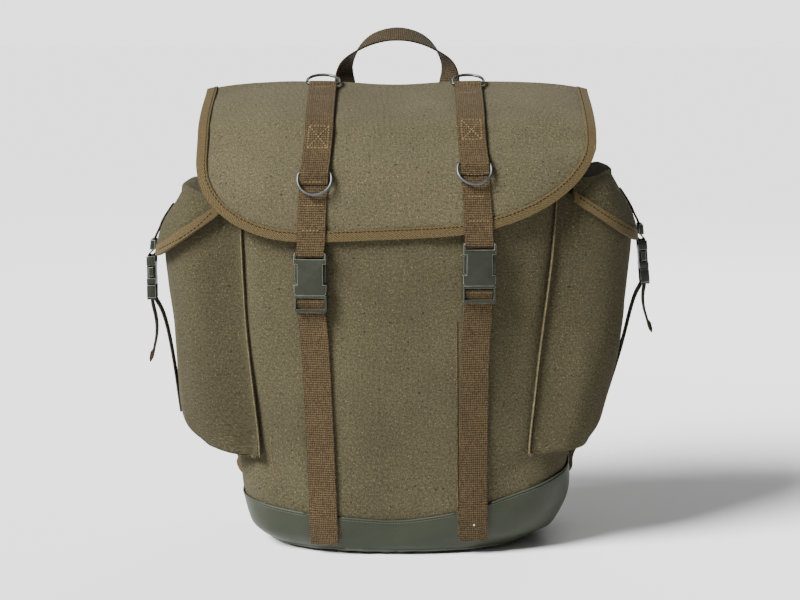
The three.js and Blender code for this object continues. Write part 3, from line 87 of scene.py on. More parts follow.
# a merged copy of a CAD node, with its triangles paired again
def copyNode(nodeName, pieceName, pairAngle=50):
    source = cadNodes[nodeName]
    piece = source.copy()
    piece.data = source.data.copy()
    piece.name = piece.data.name = pieceName
    for key in list(piece.keys()):
        del piece[key]
    bpy.context.scene.collection.objects.link(piece)
    piece.parent = None
    piece.matrix_world = Matrix.Identity(4)
    piece.data.materials.clear()
    while piece.data.uv_layers:
        piece.data.uv_layers.remove(piece.data.uv_layers[0])
    pick(piece)
    bpy.ops.mesh.customdata_custom_splitnormals_clear()
    bpy.ops.object.mode_set(mode="EDIT")
    bpy.ops.mesh.select_all(action="SELECT")
    bpy.ops.mesh.remove_doubles(threshold=0.02 * mm)
    limit = math.radians(pairAngle)
    bpy.ops.mesh.tris_convert_to_quads(face_threshold=limit, shape_threshold=math.pi)
    bpy.ops.object.mode_set(mode="OBJECT")
    return piece


def treeOf(piece):
    mesh = piece.data
    return BVHTree.FromPolygons(
        [v.co.copy() for v in mesh.vertices], [list(p.vertices) for p in mesh.polygons]
    )


def deleteFaces(piece, unwanted):
    mesh = piece.data
    bpy.context.tool_settings.mesh_select_mode = (False, False, True)
    for part in (mesh.vertices, mesh.edges):
        part.foreach_set("select", [False] * len(part))
    mesh.polygons.foreach_set("select", unwanted)
    pick(piece)
    bpy.ops.object.mode_set(mode="EDIT")
    bpy.ops.mesh.delete(type="FACE")
    bpy.ops.object.mode_set(mode="OBJECT")


# only the outer face of a cloth wall, as one open sheet
def keepOuterFace(piece, centre, wall):
    tree = treeOf(piece)
    unwanted = []
    for face in piece.data.polygons:
        hit = tree.ray_cast(face.center - face.normal * 0.01 * mm, -face.normal)
        isSheet = hit[3] is not None and hit[3] < 2.6 * wall
        isOuter = face.normal.dot(face.center - Vector(centre)) > 0
        unwanted.append(not (isSheet and isOuter))
    deleteFaces(piece, unwanted)
    return piece


# distance over the mesh from some of its vertices
def distanceFrom(mesh, starts):
    links = [[] for _ in mesh.vertices]
    for edge in mesh.edges:
        a, b = edge.vertices
        length = (mesh.vertices[a].co - mesh.vertices[b].co).length
        links[a].append((b, length))
        links[b].append((a, length))
    best = [math.inf] * len(mesh.vertices)
    queue = []
    for start in starts:
        best[start] = 0.0
        queue.append((0.0, start))
    heapq.heapify(queue)
    while queue:
        reach, at = heapq.heappop(queue)
        if reach > best[at]:
            continue
        for other, length in links[at]:
            if reach + length < best[other]:
                best[other] = reach + length
                heapq.heappush(queue, (best[other], other))
    return [b if b < math.inf else 0.0 for b in best]


# the cloth's own measure in metres, as a UV map
def setWeave(piece, across, along):
    mesh = piece.data
    layer = mesh.uv_layers.new(name="weave")
    for loop in mesh.loops:
        layer.data[loop.index].uv = (across[loop.vertex_index], along[loop.vertex_index])


# lets the measure run on over the faces at the back where its two ends meet
def closeWeave(piece, across):
    mesh = piece.data
    layer = mesh.uv_layers["weave"]
    for face in mesh.polygons:
        ends = [i for i in face.vertices if across[i] > 0]
        if face.center.y < 0 or not ends or len(ends) == len(face.vertices):
            continue
        last = max(ends, key=lambda i: across[i])
        for loop in face.loop_indices:
            vertex = mesh.vertices[mesh.loops[loop].vertex_index]
            if across[vertex.index] <= 0:
                layer.data[loop].uv.x = across[last] + mesh.vertices[last].co.x - vertex.co.x


# faces that join without a sharp edge, largest group first
def smoothGroups(mesh, angle):
    byEdge = {}
    for face in mesh.polygons:
        for key in face.edge_keys:
            byEdge.setdefault(key, []).append(face.index)
    near = [[] for _ in mesh.polygons]
    for pair in byEdge.values():
        if len(pair) == 2:
            a, b = pair
            if mesh.polygons[a].normal.dot(mesh.polygons[b].normal) > math.cos(math.radians(angle)):
                near[a].append(b)
                near[b].append(a)
    seen = set()
    groups = []
    for first in range(len(mesh.polygons)):
        if first in seen:
            continue
        seen.add(first)
        group = [first]
        for at in group:
            for other in near[at]:
                if other not in seen:
                    seen.add(other)
                    group.append(other)
        groups.append(group)
    groups.sort(key=lambda g: -sum(mesh.polygons[i].area for i in g))
    return groups


def verticesOf(mesh, group):
    return {v for i in group for v in mesh.polygons[i].vertices}


def creaseSharpEdges(piece, angle, amount):
    mesh = piece.data
    normals = {}
    for face in mesh.polygons:
        for key in face.edge_keys:
            normals.setdefault(key, []).append(face.normal.copy())
    crease = mesh.attributes.get("crease_edge") or mesh.attributes.new("crease_edge", "FLOAT", "EDGE")
    for edge in mesh.edges:
        pair = normals.get(tuple(sorted(edge.vertices)), [])
        if len(pair) == 2 and pair[0].dot(pair[1]) < math.cos(math.radians(angle)):
            crease.data[edge.index].value = amount


def subdivide(piece, levels):
    modifier = piece.modifiers.new("subdivision", "SUBSURF")
    modifier.levels = modifier.render_levels = levels
    modifier.boundary_smooth = "PRESERVE_CORNERS"
    applyModifiers(piece)


# subdivides a sheet that still passes through the points it had
def subdivideThrough(piece, levels, rounds=4):
    mesh = piece.data
    rest = [v.co.copy() for v in mesh.vertices]
    modifier = piece.modifiers.new("trial", "SUBSURF")
    modifier.levels = modifier.render_levels = 2
    modifier.boundary_smooth = "PRESERVE_CORNERS"
    for _ in range(rounds):
        graph = bpy.context.evaluated_depsgraph_get()
        graph.update()
        made = piece.evaluated_get(graph).to_mesh()
        reached = [made.vertices[i].co.copy() for i in range(len(rest))]
        piece.evaluated_get(graph).to_mesh_clear()
        for vertex, goal, place in zip(mesh.vertices, rest, reached):
            vertex.co += (goal - place) * 0.9
        mesh.update()
    piece.modifiers.remove(modifier)
    subdivide(piece, levels)


def thicken(piece, wall):
    modifier = piece.modifiers.new("wall", "SOLIDIFY")
    modifier.thickness = wall
    modifier.offset = -1
    modifier.use_even_offset = False
    applyModifiers(piece)


# moves each vertex along its normal by a depth that is worked out at its place
def pushOut(piece, depthAt):
    mesh = piece.data
    moved = [v.co + v.normal * depthAt(v.co, v.normal) for v in mesh.vertices]
    for vertex, place in zip(mesh.vertices, moved):
        vertex.co = place
    mesh.update()


# moves a sheet inward until it lies under another one, with some room between
def tuckUnder(piece, coverTree, room, fade):
    mesh = piece.data
    for vertex in mesh.vertices:
        place, normal, _, reach = coverTree.find_nearest(vertex.co, 25 * mm)
        if place is None:
            continue
        out = (vertex.co - place).dot(normal)
        beside = (vertex.co - place - normal * out).length
        if out > -room:
            vertex.co -= normal * (out + room) * (1 - ease(0, fade, beside))
    mesh.update()


# places and normals along the free edge of a sheet, in order
def edgeRun(piece, keep, order):
    mesh = piece.data
    count = {}
    for face in mesh.polygons:
        for key in face.edge_keys:
            count[key] = count.get(key, 0) + 1
    free = {i for key, faces in count.items() if faces == 1 for i in key}
    chosen = [mesh.vertices[i] for i in free if keep(mesh.vertices[i].co)]
    chosen.sort(key=lambda v: order(v.co))
    return [(v.co.copy(), v.normal.copy()) for v in chosen]


def shade(piece, angle=None):
    pick(piece)
    if angle is None:
        bpy.ops.object.shade_smooth()
    else:
        bpy.ops.object.shade_smooth_by_angle(angle=math.radians(angle))


def dress(piece, material, body="bag", nodes=(), edges=None):
    if edges is None:
        piece.data.materials.clear()
        piece.data.materials.append(material)
    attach(piece, body)
    if nodes:
        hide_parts(*nodes)
    return piece


def ripple(place, size, seed=0.0):
    return noise.noise(Vector(place) / size + Vector((seed, seed * 0.7, -seed)))


def bump(value, centre, width):
    return math.exp(-((value - centre) / width) ** 2)


def ease(low, high, value):
    t = min(max((value - low) / (high - low), 0), 1)
    return t * t * (3 - 2 * t)


# materials

# a material under construction: its shader, and short ways to add nodes
class Finish:
    def __init__(self, name, roughness, sheen=0.0, metallic=0.0, specular=0.3):
        self.material = bpy.data.materials.new(name)
        self.material.use_nodes = True
        self.tree = self.material.node_tree
        self.shader = self.tree.nodes["Principled BSDF"]
        self.shader.inputs["Roughness"].default_value = roughness
        self.shader.inputs["Sheen Weight"].default_value = sheen
        self.shader.inputs["Sheen Roughness"].default_value = 0.6
        self.shader.inputs["Metallic"].default_value = metallic
        self.shader.inputs["Specular IOR Level"].default_value = specular
        self.place = self.add("ShaderNodeTexCoord").outputs["Object"]

    def add(self, kind, **values):
        node = self.tree.nodes.new(kind)
        for key, value in values.items():
            setattr(node, key, value)
        return node

    def link(self, source, target):
        self.tree.links.new(source, target)

    def weave(self):
        return self.add("ShaderNodeUVMap", uv_map="weave").outputs["UV"]

    def stretch(self, source, scale, turn=0.0):
        node = self.add("ShaderNodeMapping")
        node.inputs["Scale"].default_value = scale
        node.inputs["Rotation"].default_value = (0, 0, turn)
        self.link(source, node.inputs["Vector"])
        return node.outputs["Vector"]

    def noise(self, source, scale, detail=3.0, roughness=0.55):
        node = self.add("ShaderNodeTexNoise")
        node.inputs["Scale"].default_value = scale
        node.inputs["Detail"].default_value = detail
        node.inputs["Roughness"].default_value = roughness
        self.link(source, node.inputs["Vector"])
        return node.outputs["Fac"]

    # bands with a given period in metres, across X or Y of the source
    def bands(self, source, period, direction, shift=None, distortion=0.0):
        node = self.add("ShaderNodeTexWave", bands_direction=direction)
        node.inputs["Scale"].default_value = 2 * math.pi / 20 / period
        node.inputs["Distortion"].default_value = distortion
        node.inputs["Detail"].default_value = 1.0
        node.inputs["Detail Scale"].default_value = 1.5
        self.link(source, node.inputs["Vector"])
        if shift is not None:
            self.link(shift, node.inputs["Phase Offset"])
        return node.outputs["Fac"]

    def sum(self, kind, a, b):
        node = self.add("ShaderNodeMath", operation=kind)
        for socket, value in zip(node.inputs, (a, b)):
            if isinstance(value, (int, float)):
                socket.default_value = value
            else:
                self.link(value, socket)
        return node.outputs[0]

    def ramp(self, source, stops):
        node = self.add("ShaderNodeValToRGB")
        ramp = node.color_ramp
        while len(ramp.elements) < len(stops):
            ramp.elements.new(0.5)
        for element, (place, colour) in zip(ramp.elements, stops):
            element.position = place
            element.color = (*colour, 1)
        self.link(source, node.inputs["Fac"])
        return node.outputs["Color"]

    def mix(self, kind, share, a, b):
        node = self.add("ShaderNodeMix", data_type="RGBA", blend_type=kind)
        for socket, value in ((node.inputs[0], share), (node.inputs[6], a), (node.inputs[7], b)):
            if isinstance(value, tuple):
                socket.default_value = (*value, 1)
            elif isinstance(value, (int, float)):
                socket.default_value = value
            else:
                self.link(value, socket)
        return node.outputs[2]

    def spread(self, source, low, high):
        node = self.add("ShaderNodeMapRange")
        node.inputs["To Min"].default_value = low
        node.inputs["To Max"].default_value = high
        self.link(source, node.inputs["Value"])
        return node.outputs["Result"]

    def colour(self, source):
        self.link(source, self.shader.inputs["Base Color"])

    def relief(self, height, distance, strength=1.0):
        node = self.add("ShaderNodeBump")
        node.inputs["Distance"].default_value = distance
        node.inputs["Strength"].default_value = strength
        self.link(height, node.inputs["Height"])
        self.link(node.outputs["Normal"], self.shader.inputs["Normal"])


def shadeOf(colour, factor):
    return tuple(min(c * factor, 1.0) for c in colour)


# woven canvas: thread bumps, a grain of lighter and darker threads, pale slubs, soft worn patches
def canvasFinish(name, colour, patches=0.16):
    finish = Finish(name, 0.95, sheen=0.02, specular=0.08)
    cloth = finish.weave()
    warp = finish.bands(cloth, 1.3 * mm, "X", distortion=1.2)
    weft = finish.bands(cloth, 1.3 * mm, "Y", distortion=1.2)
    threads = finish.sum("MULTIPLY", warp, weft)
    grain = finish.noise(finish.stretch(cloth, (700, 560, 1)), 1.0, 4, 0.75)
    dark = finish.noise(finish.stretch(cloth, (900, 300, 1)), 1.0, 2, 0.6)
    slubs = finish.noise(finish.stretch(cloth, (620, 480, 1)), 1.0, 1, 0.5)
    worn = finish.noise(finish.place, 9, 5, 0.62)
    tone = finish.ramp(grain, [(0.3, shadeOf(colour, 0.5)), (0.5, colour), (0.7, shadeOf(colour, 1.65))])
    tone = finish.mix("MULTIPLY", 0.7, tone, finish.ramp(dark, [(0.28, (0.35, 0.35, 0.35)), (0.44, (1, 1, 1))]))
    pale = finish.ramp(slubs, [(0.66, (0, 0, 0)), (0.74, (1, 1, 1))])
    tone = finish.mix("MIX", pale, tone, shadeOf(colour, 2.6))
    nubs = finish.noise(finish.stretch(cloth, (330, 420, 1)), 1.0, 2, 0.6)
    tone = finish.mix(
        "MULTIPLY", 0.45, tone, finish.ramp(nubs, [(0.3, (0.45, 0.45, 0.45)), (0.5, (1, 1, 1)), (0.7, (1.5, 1.5, 1.5))])
    )
    pits = finish.noise(finish.stretch(cloth, (260, 300, 1)), 1.0, 0)
    tone = finish.mix("MULTIPLY", 0.6, tone, finish.ramp(pits, [(0.2, (0.2, 0.2, 0.2)), (0.26, (1, 1, 1))]))
    patch = finish.spread(worn, 1 - 2 * patches, 1 + 2 * patches)
    half = finish.sum("MULTIPLY", patch, 0.5)
    tone = finish.mix("MULTIPLY", 1.0, tone, finish.ramp(half, [(0, (0, 0, 0)), (1, (2, 2, 2))]))
    light = finish.ramp(threads, [(0, (0.6, 0.6, 0.6)), (0.5, (1.15, 1.15, 1.15))])
    finish.colour(finish.mix("MULTIPLY", 0.6, tone, light))
    height = finish.sum("ADD", threads, finish.sum("MULTIPLY", grain, 1.1))
    finish.relief(height, 0.45 * mm, 1.0)
    return finish.material


# webbing: ribs across its length, cut up by the warp
def webbingFinish(name, colour, pitch=2.5 * mm):
    finish = Finish(name, 0.88, sheen=0.02, specular=0.12)
    cloth = finish.weave()
    wobble = finish.spread(finish.noise(finish.stretch(cloth, (700, 200, 1)), 1.0, 2), -2.4, 2.4)
    ribs = finish.bands(cloth, pitch, "Y", shift=wobble)
    warp = finish.bands(cloth, 2.1 * mm, "X", shift=finish.sum("MULTIPLY", wobble, 2.0))
    grain = finish.noise(finish.stretch(cloth, (620, 480, 1)), 1.0, 3, 0.7)
    height = finish.sum("ADD", finish.sum("MULTIPLY", ribs, 0.34), finish.sum("MULTIPLY", warp, 0.3))
    height = finish.sum("ADD", height, finish.sum("MULTIPLY", grain, 0.95))
    tone = finish.ramp(
        height, [(0.45, shadeOf(colour, 0.3)), (0.8, colour), (1.15, shadeOf(colour, 2.3))]
    )
    patch = finish.noise(finish.place, 30, 3)
    blotch = finish.ramp(patch, [(0.3, (0.72, 0.7, 0.68)), (0.7, (1.2, 1.18, 1.15))])
    finish.colour(finish.mix("MULTIPLY", 0.5, tone, blotch))
    finish.relief(height, 0.5 * mm, 1.0)
    return finish.material


# folded twill tape: slanting ridges
def tapeFinish(name, colour):
    finish = Finish(name, 0.9, sheen=0.02, specular=0.1)
    cloth = finish.weave()
    slant = finish.bands(finish.stretch(cloth, (1, 1, 1), math.radians(38)), 1.9 * mm, "X", distortion=2.5)
    grain = finish.noise(finish.stretch(cloth, (620, 620, 1)), 1.0, 3, 0.7)
    height = finish.sum("ADD", finish.sum("MULTIPLY", slant, 0.36), finish.sum("MULTIPLY", grain, 1.04))
    finish.colour(
        finish.ramp(height, [(0.35, shadeOf(colour, 0.35)), (0.7, colour), (1.1, shadeOf(colour, 2.0))])
    )
    finish.relief(height, 0.4 * mm, 0.9)
    return finish.material


# smooth coated cloth: a fine pebble grain with a soft shine
def coatedFinish(name, colour):
    finish = Finish(name, 0.5, specular=0.25)
    pebbles = finish.noise(finish.place, 420, 3, 0.5)
    creases = finish.noise(finish.place, 38, 4, 0.6)
    soil = finish.noise(finish.place, 14, 4)
    tone = finish.ramp(soil, [(0.3, shadeOf(colour, 0.82)), (0.7, shadeOf(colour, 1.12))])
    finish.colour(
        finish.mix("MULTIPLY", 0.4, tone, finish.ramp(pebbles, [(0.35, (0.85, 0.85, 0.85)), (0.65, (1.1, 1.1, 1.1))]))
    )
    finish.relief(
        finish.sum("ADD", finish.sum("MULTIPLY", pebbles, 0.35), creases), 0.5 * mm, 0.5
    )
    finish.link(finish.spread(creases, 0.42, 0.6), finish.shader.inputs["Roughness"])
    return finish.material


# moulded plastic with a fine grain and faint rub marks
def plasticFinish(name, colour):
    finish = Finish(name, 0.42, specular=0.22)
    speckle = finish.noise(finish.place, 900, 2)
    cloud = finish.noise(finish.place, 130, 4, 0.6)
    base = finish.ramp(speckle, [(0.3, shadeOf(colour, 0.85)), (0.7, shadeOf(colour, 1.15))])
    marks = finish.ramp(cloud, [(0.35, (0.8, 0.8, 0.8)), (0.7, (1.25, 1.25, 1.25))])
    finish.colour(finish.mix("MULTIPLY", 0.7, base, marks))
    finish.relief(speckle, 0.08 * mm, 0.4)
    finish.link(finish.spread(cloud, 0.34, 0.55), finish.shader.inputs["Roughness"])
    return finish.material


# bent steel wire with a dull zinc coat
def steelFinish(name, colour):
    finish = Finish(name, 0.38, metallic=0.85, specular=0.5)
    cloud = finish.noise(finish.place, 160, 4, 0.6)
    finish.colour(finish.ramp(cloud, [(0.3, shadeOf(colour, 0.6)), (0.65, colour)]))
    finish.link(finish.spread(cloud, 0.28, 0.55), finish.shader.inputs["Roughness"])
    finish.relief(finish.noise(finish.place, 700, 2), 0.06 * mm, 0.4)
    return finish.material


def threadFinish(name, colour):
    finish = Finish(name, 0.85, specular=0.08)
    strand = finish.noise(finish.place, 1500, 2)
    finish.colour(finish.ramp(strand, [(0.3, shadeOf(colour, 0.7)), (0.7, shadeOf(colour, 1.15))]))
    finish.relief(strand, 0.1 * mm, 0.6)
    return finish.material


# colours as linear light
finishes = dict(
    canvas=canvasFinish("body_canvas", (0.064, 0.056, 0.0305)),
    lidCanvas=canvasFinish("lid_canvas", (0.083, 0.0725, 0.041)),
    pocketCanvas=canvasFinish("pocket_canvas", (0.05, 0.0435, 0.023)),
    padCanvas=canvasFinish("pad_canvas", (0.045, 0.039, 0.022)),
    webbing=webbingFinish("strap_webbing", (0.037, 0.0255, 0.0118)),
    darkWebbing=webbingFinish("dark_webbing", (0.027, 0.0195, 0.0103), 2.2 * mm),
    tape=tapeFinish("binding_tape", (0.057, 0.0415, 0.0182)),
    coated=coatedFinish("coated_cloth", (0.0185, 0.022, 0.0115)),
    plastic=plasticFinish("buckle_plastic", (0.0145, 0.0165, 0.0095)),
    rubbed=plasticFinish("rubbed_plastic", (0.27, 0.29, 0.245)),
    steel=steelFinish("ring_steel", (0.1, 0.105, 0.1)),
    thread=threadFinish("sewing_thread", (0.22, 0.155, 0.07)),
    darkThread=threadFinish("dark_thread", (0.085, 0.06, 0.028)),
    paleThread=threadFinish("pale_thread", (0.1, 0.115, 0.085)),
    # near-black thread: dark thread on the binding; beside the pocket seams its stitches also paint the shadow in the
    # groove by the seam
    blackThreadAndGrooveShade=threadFinish("black_thread_and_groove_shade", (0.012, 0.008, 0.004)),
    knot=threadFinish("knot_thread", (0.5, 0.48, 0.42)),
    # pale canvas of the pocket seams' raised edges: paler than the pocket cloth, a painted highlight along each ridge
    seamCanvasHighlight=canvasFinish("seam_canvas_highlight", (0.115, 0.092, 0.049)),
    # paler coated cloth of the boot's top edge and welt: a painted highlight along these rolled edges
    coatedEdgeHighlight=coatedFinish("coated_edge_highlight", (0.036, 0.043, 0.029)),
)
print("materials made")


# cloth of the main bag, its boot, lid and pockets

bodyCloth = dict(wall=2 * mm, levels=3, waves=2.2 * mm, crumple=0.5 * mm, pressed=5.5 * mm, dent=4 * mm, crease=1.5 * mm)
bootCloth = dict(wall=1.5 * mm, waves=0.5 * mm, dents=2.2 * mm)
lidCloth = dict(wall=2 * mm, levels=3, waves=1.6 * mm, crumple=0.4 * mm)
pocketCloth = dict(wall=2 * mm, levels=3, waves=2.6 * mm, crumple=0.6 * mm, strapY=-12 * mm)
strapMiddles = dict(left=-0.087, right=0.083)


def besideStraps(place):
    nearest = min(abs(place.x - x) for x in strapMiddles.values())
    return ease(0.016, 0.036, nearest)


bootTop, bootSheet = [], []


def makeBoot():
    boot = copyNode("boot", "boot_cloth")
    keepOuterFace(boot, (0.02, 0, 0.1), bootCloth["wall"])
    setWeave(boot, [v.co.x for v in boot.data.vertices], [v.co.z for v in boot.data.vertices])
    creaseSharpEdges(boot, 60, 0.6)
    subdivideThrough(boot, 3)

    def depth(place, normal):
        if place.z < 3 * mm:
            return 0
        wave = ripple(place, 0.03, 1.3)
        slow = ripple((place.x, place.y, place.z * 1.6), 0.055, 8.3)
        sag = bootCloth["waves"] * (wave - 0.2) + bootCloth["dents"] * (slow - 0.4)
        return sag * ease(0.004, 0.016, place.z)

    pushOut(boot, depth)
    for vertex in boot.data.vertices:
        vertex.co.z = max(vertex.co.z, 0)
    bootTop.extend(edgeRun(boot, lambda p: p.z > 0.02, lambda p: math.atan2(p.x, -p.y)))
    bootSheet.append(treeOf(boot))
    thicken(boot, bootCloth["wall"])
    shade(boot)
    return dress(boot, finishes["coated"], nodes=["boot"])


def makeMainBag():
    bag = copyNode("main_bag", "main_bag_cloth")
    keepOuterFace(bag, (0, 0, 0.24), bodyCloth["wall"])
    mesh = bag.data
    middle = min((v.co.x ** 2 for v in mesh.vertices if v.co.y < 0))
    starts = [v.index for v in mesh.vertices if v.co.y < 0 and v.co.x ** 2 < middle + 1e-4]
    across = distanceFrom(mesh, starts)
    across = [a if v.co.x > 0 else -a for a, v in zip(across, mesh.vertices)]
    setWeave(bag, across, [v.co.z for v in mesh.vertices])
    closeWeave(bag, across)
    subdivideThrough(bag, bodyCloth["levels"])

    def depth(place, normal):
        free = besideStraps(place) if place.y < 0 else 1.0
        wide = ripple((place.x, place.y, place.z * 0.55), 0.062, 3.1)
        fine = ripple((place.x, place.y, place.z * 0.8), 0.021, 7.7)
        inward = bodyCloth["waves"] * (wide - 0.45) + bodyCloth["crumple"] * (fine - 0.5)
        outward = 1.6 * mm * max(wide, 0) * free
        pressed = 0.0
        if place.y < 0:
            high = ease(0.13, 0.2, place.z) * ease(0.43, 0.38, place.z)
            pressed = bodyCloth["pressed"] * bump(place.x, 0.13, 0.024) * high
            under = place.z - 0.098 - 0.25 * (abs(place.x) - 0.13)
            pressed += bodyCloth["dent"] * bump(abs(place.x), 0.145, 0.035) * bump(under, 0, 0.013)
            crease = place.z - 0.125 + 0.5 * (place.x - 0.1)
            pressed += bodyCloth["crease"] * bump(place.x, 0.115, 0.018) * bump(crease, 0, 0.007)
        return min(inward, 0) * ease(0.04, 0.08, place.z) + outward * ease(0.08, 0.12, place.z) - pressed

    pushOut(bag, depth)
    tuckUnder(bag, bootSheet[0], bootCloth["wall"] + 0.5 * mm, 9 * mm)
    thicken(bag, bodyCloth["wall"])
    shade(bag)
    return dress(bag, finishes["canvas"], nodes=["main_bag"])


def makeLid():
    lid = copyNode("lid", "lid_cloth")
    keepOuterFace(lid, (0, 0, 0.3), lidCloth["wall"])
    mesh = lid.data
    rear = [v.index for v in mesh.vertices if v.co.y > 0.07 and v.co.z < 0.45]
    setWeave(lid, [v.co.x for v in mesh.vertices], distanceFrom(mesh, rear))
    subdivideThrough(lid, lidCloth["levels"])

    def depth(place, normal):
        free = besideStraps(place)
        wide = ripple((place.x, place.y * 0.8, place.z * 0.8), 0.075, 5.2)
        fine = ripple(place, 0.024, 2.4)
        front = 0.5 + 0.5 * ease(0.03, -0.06, place.y)
        return front * (lidCloth["waves"] * wide * free + lidCloth["crumple"] * (fine - 0.4))

    pushOut(lid, depth)
    thicken(lid, lidCloth["wall"])
    shade(lid)
    return dress(lid, finishes["lidCanvas"], nodes=["lid"])


# how far round a pocket each vertex lies from the column under its strap
def roundPocket(mesh):
    column = [v.index for v in mesh.vertices if abs(v.co.y - pocketCloth["strapY"]) < 1.5 * mm]
    reach = distanceFrom(mesh, column)
    return [r if v.co.y > pocketCloth["strapY"] else -r for r, v in zip(reach, mesh.vertices)]


flanges = {}


# the edge of a pocket's front (-1) or rear (1) flange, from its top down
def flangeRun(pocket, way):
    run = edgeRun(pocket, lambda p: p.y * way > 0.04, lambda p: -p.z)
    edge = {}
    for place, normal in run:
        level = round(place.z / (3 * mm))
        reach = abs(place.x) if way < 0 else -place.y
        if level not in edge or reach < edge[level][0]:
            edge[level] = (reach, place, normal)
    return [edge[level][1:] for level in sorted(edge, reverse=True)]


def makePocket(name, side):
    pocket = copyNode(f"pocket_{name}", f"pocket_{name}_cloth")
    keepOuterFace(pocket, (side * 0.12, 0, 0.25), pocketCloth["wall"])
    mesh = pocket.data
    setWeave(pocket, roundPocket(mesh), [v.co.z for v in mesh.vertices])
    subdivideThrough(pocket, pocketCloth["levels"])

    def depth(place, normal):
        free = ease(0.155, 0.2, abs(place.x)) * ease(0.06, 0.03, place.y)
        strap = 1 - bump(place.y, -0.012, 0.02) * ease(0.21, 0.235, abs(place.x))
        wide = ripple((place.x, place.y, place.z * 0.6), 0.05, 4.4 + side)
        fine = ripple((place.x, place.y, place.z * 0.8), 0.018, 9.1 + side)
        pull = pocketCloth["waves"] * wide + pocketCloth["crumple"] * fine
        return pull * free * strap - 0.3 * mm

    pushOut(pocket, depth)
    flanges[name] = [flangeRun(pocket, -1), flangeRun(pocket, 1)]
    thicken(pocket, pocketCloth["wall"])
    shade(pocket)
    return dress(pocket, finishes["pocketCanvas"], nodes=[f"pocket_{name}"])


roof = dict(at=0.227, width=0.012, lift=6 * mm)


def makePocketLid(name, side):
    lid = copyNode(f"pocket_lid_{name}", f"pocket_lid_{name}_cloth")
    keepOuterFace(lid, (side * 0.12, 0, 0.3), pocketCloth["wall"])
    mesh = lid.data
    setWeave(lid, roundPocket(mesh), [v.co.z for v in mesh.vertices])
    creaseSharpEdges(lid, 28, 1.0)
    subdivideThrough(lid, pocketCloth["levels"])

    def depth(place, normal):
        strap = 1 - bump(place.y, -0.012, 0.02)
        wide = ripple(place, 0.045, 6.3 + side)
        fine = ripple(place, 0.017, 1.9 + side)
        return (0.9 * mm * wide + 0.4 * mm * (fine - 0.3)) * strap

    pushOut(lid, depth)
    for vertex in lid.data.vertices:
        corner = bump(abs(vertex.co.x), roof["at"], roof["width"]) * ease(0.37, 0.392, vertex.co.z)
        vertex.co.z += roof["lift"] * corner
    thicken(lid, pocketCloth["wall"])
    shade(lid)
    return dress(lid, finishes["pocketCanvas"], nodes=[f"pocket_lid_{name}"])


sides = dict(left=-1, right=1)
boot = makeBoot()
bag = makeMainBag()
lid = makeLid()
pockets = {name: makePocket(name, side) for name, side in sides.items()}
pocketLids = {name: makePocketLid(name, side) for name, side in sides.items()}
print("cloth made")


# webbing and tape: bands with their own measure along and across

bands = dict(edgeCrease=0.75, levels=2)


# rows of a band from one end to the other, each with its middle, width direction and reach
def rowsOfBand(mesh, startPoint):
    links = [set() for _ in mesh.vertices]
    for edge in mesh.edges:
        a, b = edge.vertices
        links[a].add(b)
        links[b].add(a)
    corners = [v.index for v in mesh.vertices if len(links[v.index]) == 3]
    corners.sort(key=lambda i: (mesh.vertices[i].co - Vector(startPoint)).length)
    first = set(corners[:4])
    for angle in (62, 40, 25):
        caps = [verticesOf(mesh, group) for group in smoothGroups(mesh, angle)]
        caps = [members for members in caps if first <= members and len(members) < 20]
        if caps:
            first = caps[-1]
            break
    rows, seen, reach, level = [], set(first), 0.0, sorted(first)
    while level:
        middle = sum((mesh.vertices[i].co for i in level), Vector()) / len(level)
        spans = [mesh.vertices[i].co - middle for i in level]
        across = max(spans, key=lambda span: span.length).copy()
        if rows and across.dot(rows[-1]["across"]) < 0:
            across.negate()
        if rows:
            across = across.normalized() + rows[-1]["across"] * 0.3
        across = sum((span if span.dot(across) > 0 else -span for span in spans), Vector())
        across.normalize()
        rows.append(dict(members=level, middle=middle, across=across, reach=reach))
        following = sorted({n for i in level for n in links[i]} - seen)
        if following:
            ahead = sum((mesh.vertices[i].co for i in following), Vector()) / len(following)
            reach += (ahead - middle).length
        seen |= set(following)
        level = following
    return rows


def measureBand(piece, startPoint):
    mesh = piece.data
    rows = rowsOfBand(mesh, startPoint)
    across = [0.0] * len(mesh.vertices)
    along = [0.0] * len(mesh.vertices)
    for row in rows:
        for i in row["members"]:
            across[i] = (mesh.vertices[i].co - row["middle"]).dot(row["across"])
            along[i] = row["reach"]
    setWeave(piece, across, along)
    return rows


bandRows = {}


def makeBand(nodeName, pieceName, startPoint, material, levels=None):
    band = copyNode(nodeName, pieceName)
    bandRows[nodeName] = measureBand(band, startPoint)
    creaseSharpEdges(band, 55, bands["edgeCrease"])
    subdivide(band, levels or bands["levels"])
    shade(band, 40)
    return dress(band, material, nodes=[nodeName])


straps = {}
for name, side in sides.items():
    for kind in ("overlay_strap", "lid_strap", "body_strap"):
        straps[kind, name] = makeBand(
            f"{kind}_{name}", f"{kind}_{name}_webbing", (side * 0.085, 0, 0.6), finishes["webbing"]
        )
    for kind in ("pocket_strap", "pocket_lower_strap"):
        straps[kind, name] = makeBand(
            f"{kind}_{name}", f"{kind}_{name}_webbing", (side * 0.2, 0, 0.6), finishes["darkWebbing"]
        )
    for kind in ("shoulder_tab", "shoulder_webbing"):
        straps[kind, name] = makeBand(
            f"{kind}_{name}", f"{kind}_{name}_band", (side * 0.1, 0.2, 0.6), finishes["webbing"]
        )
handle = makeBand("carry_handle", "carry_handle_webbing", (-0.06, 0.09, 0.45), finishes["darkWebbing"])
print("webbing made")


def makeTape(nodeName, pieceName, startPoint):
    tape = copyNode(nodeName, pieceName)
    bandRows[nodeName] = measureBand(tape, startPoint)
    creaseSharpEdges(tape, 55, 0.6)
    subdivide(tape, 2)
    shade(tape, 50)
    return dress(tape, finishes["tape"], nodes=[nodeName])


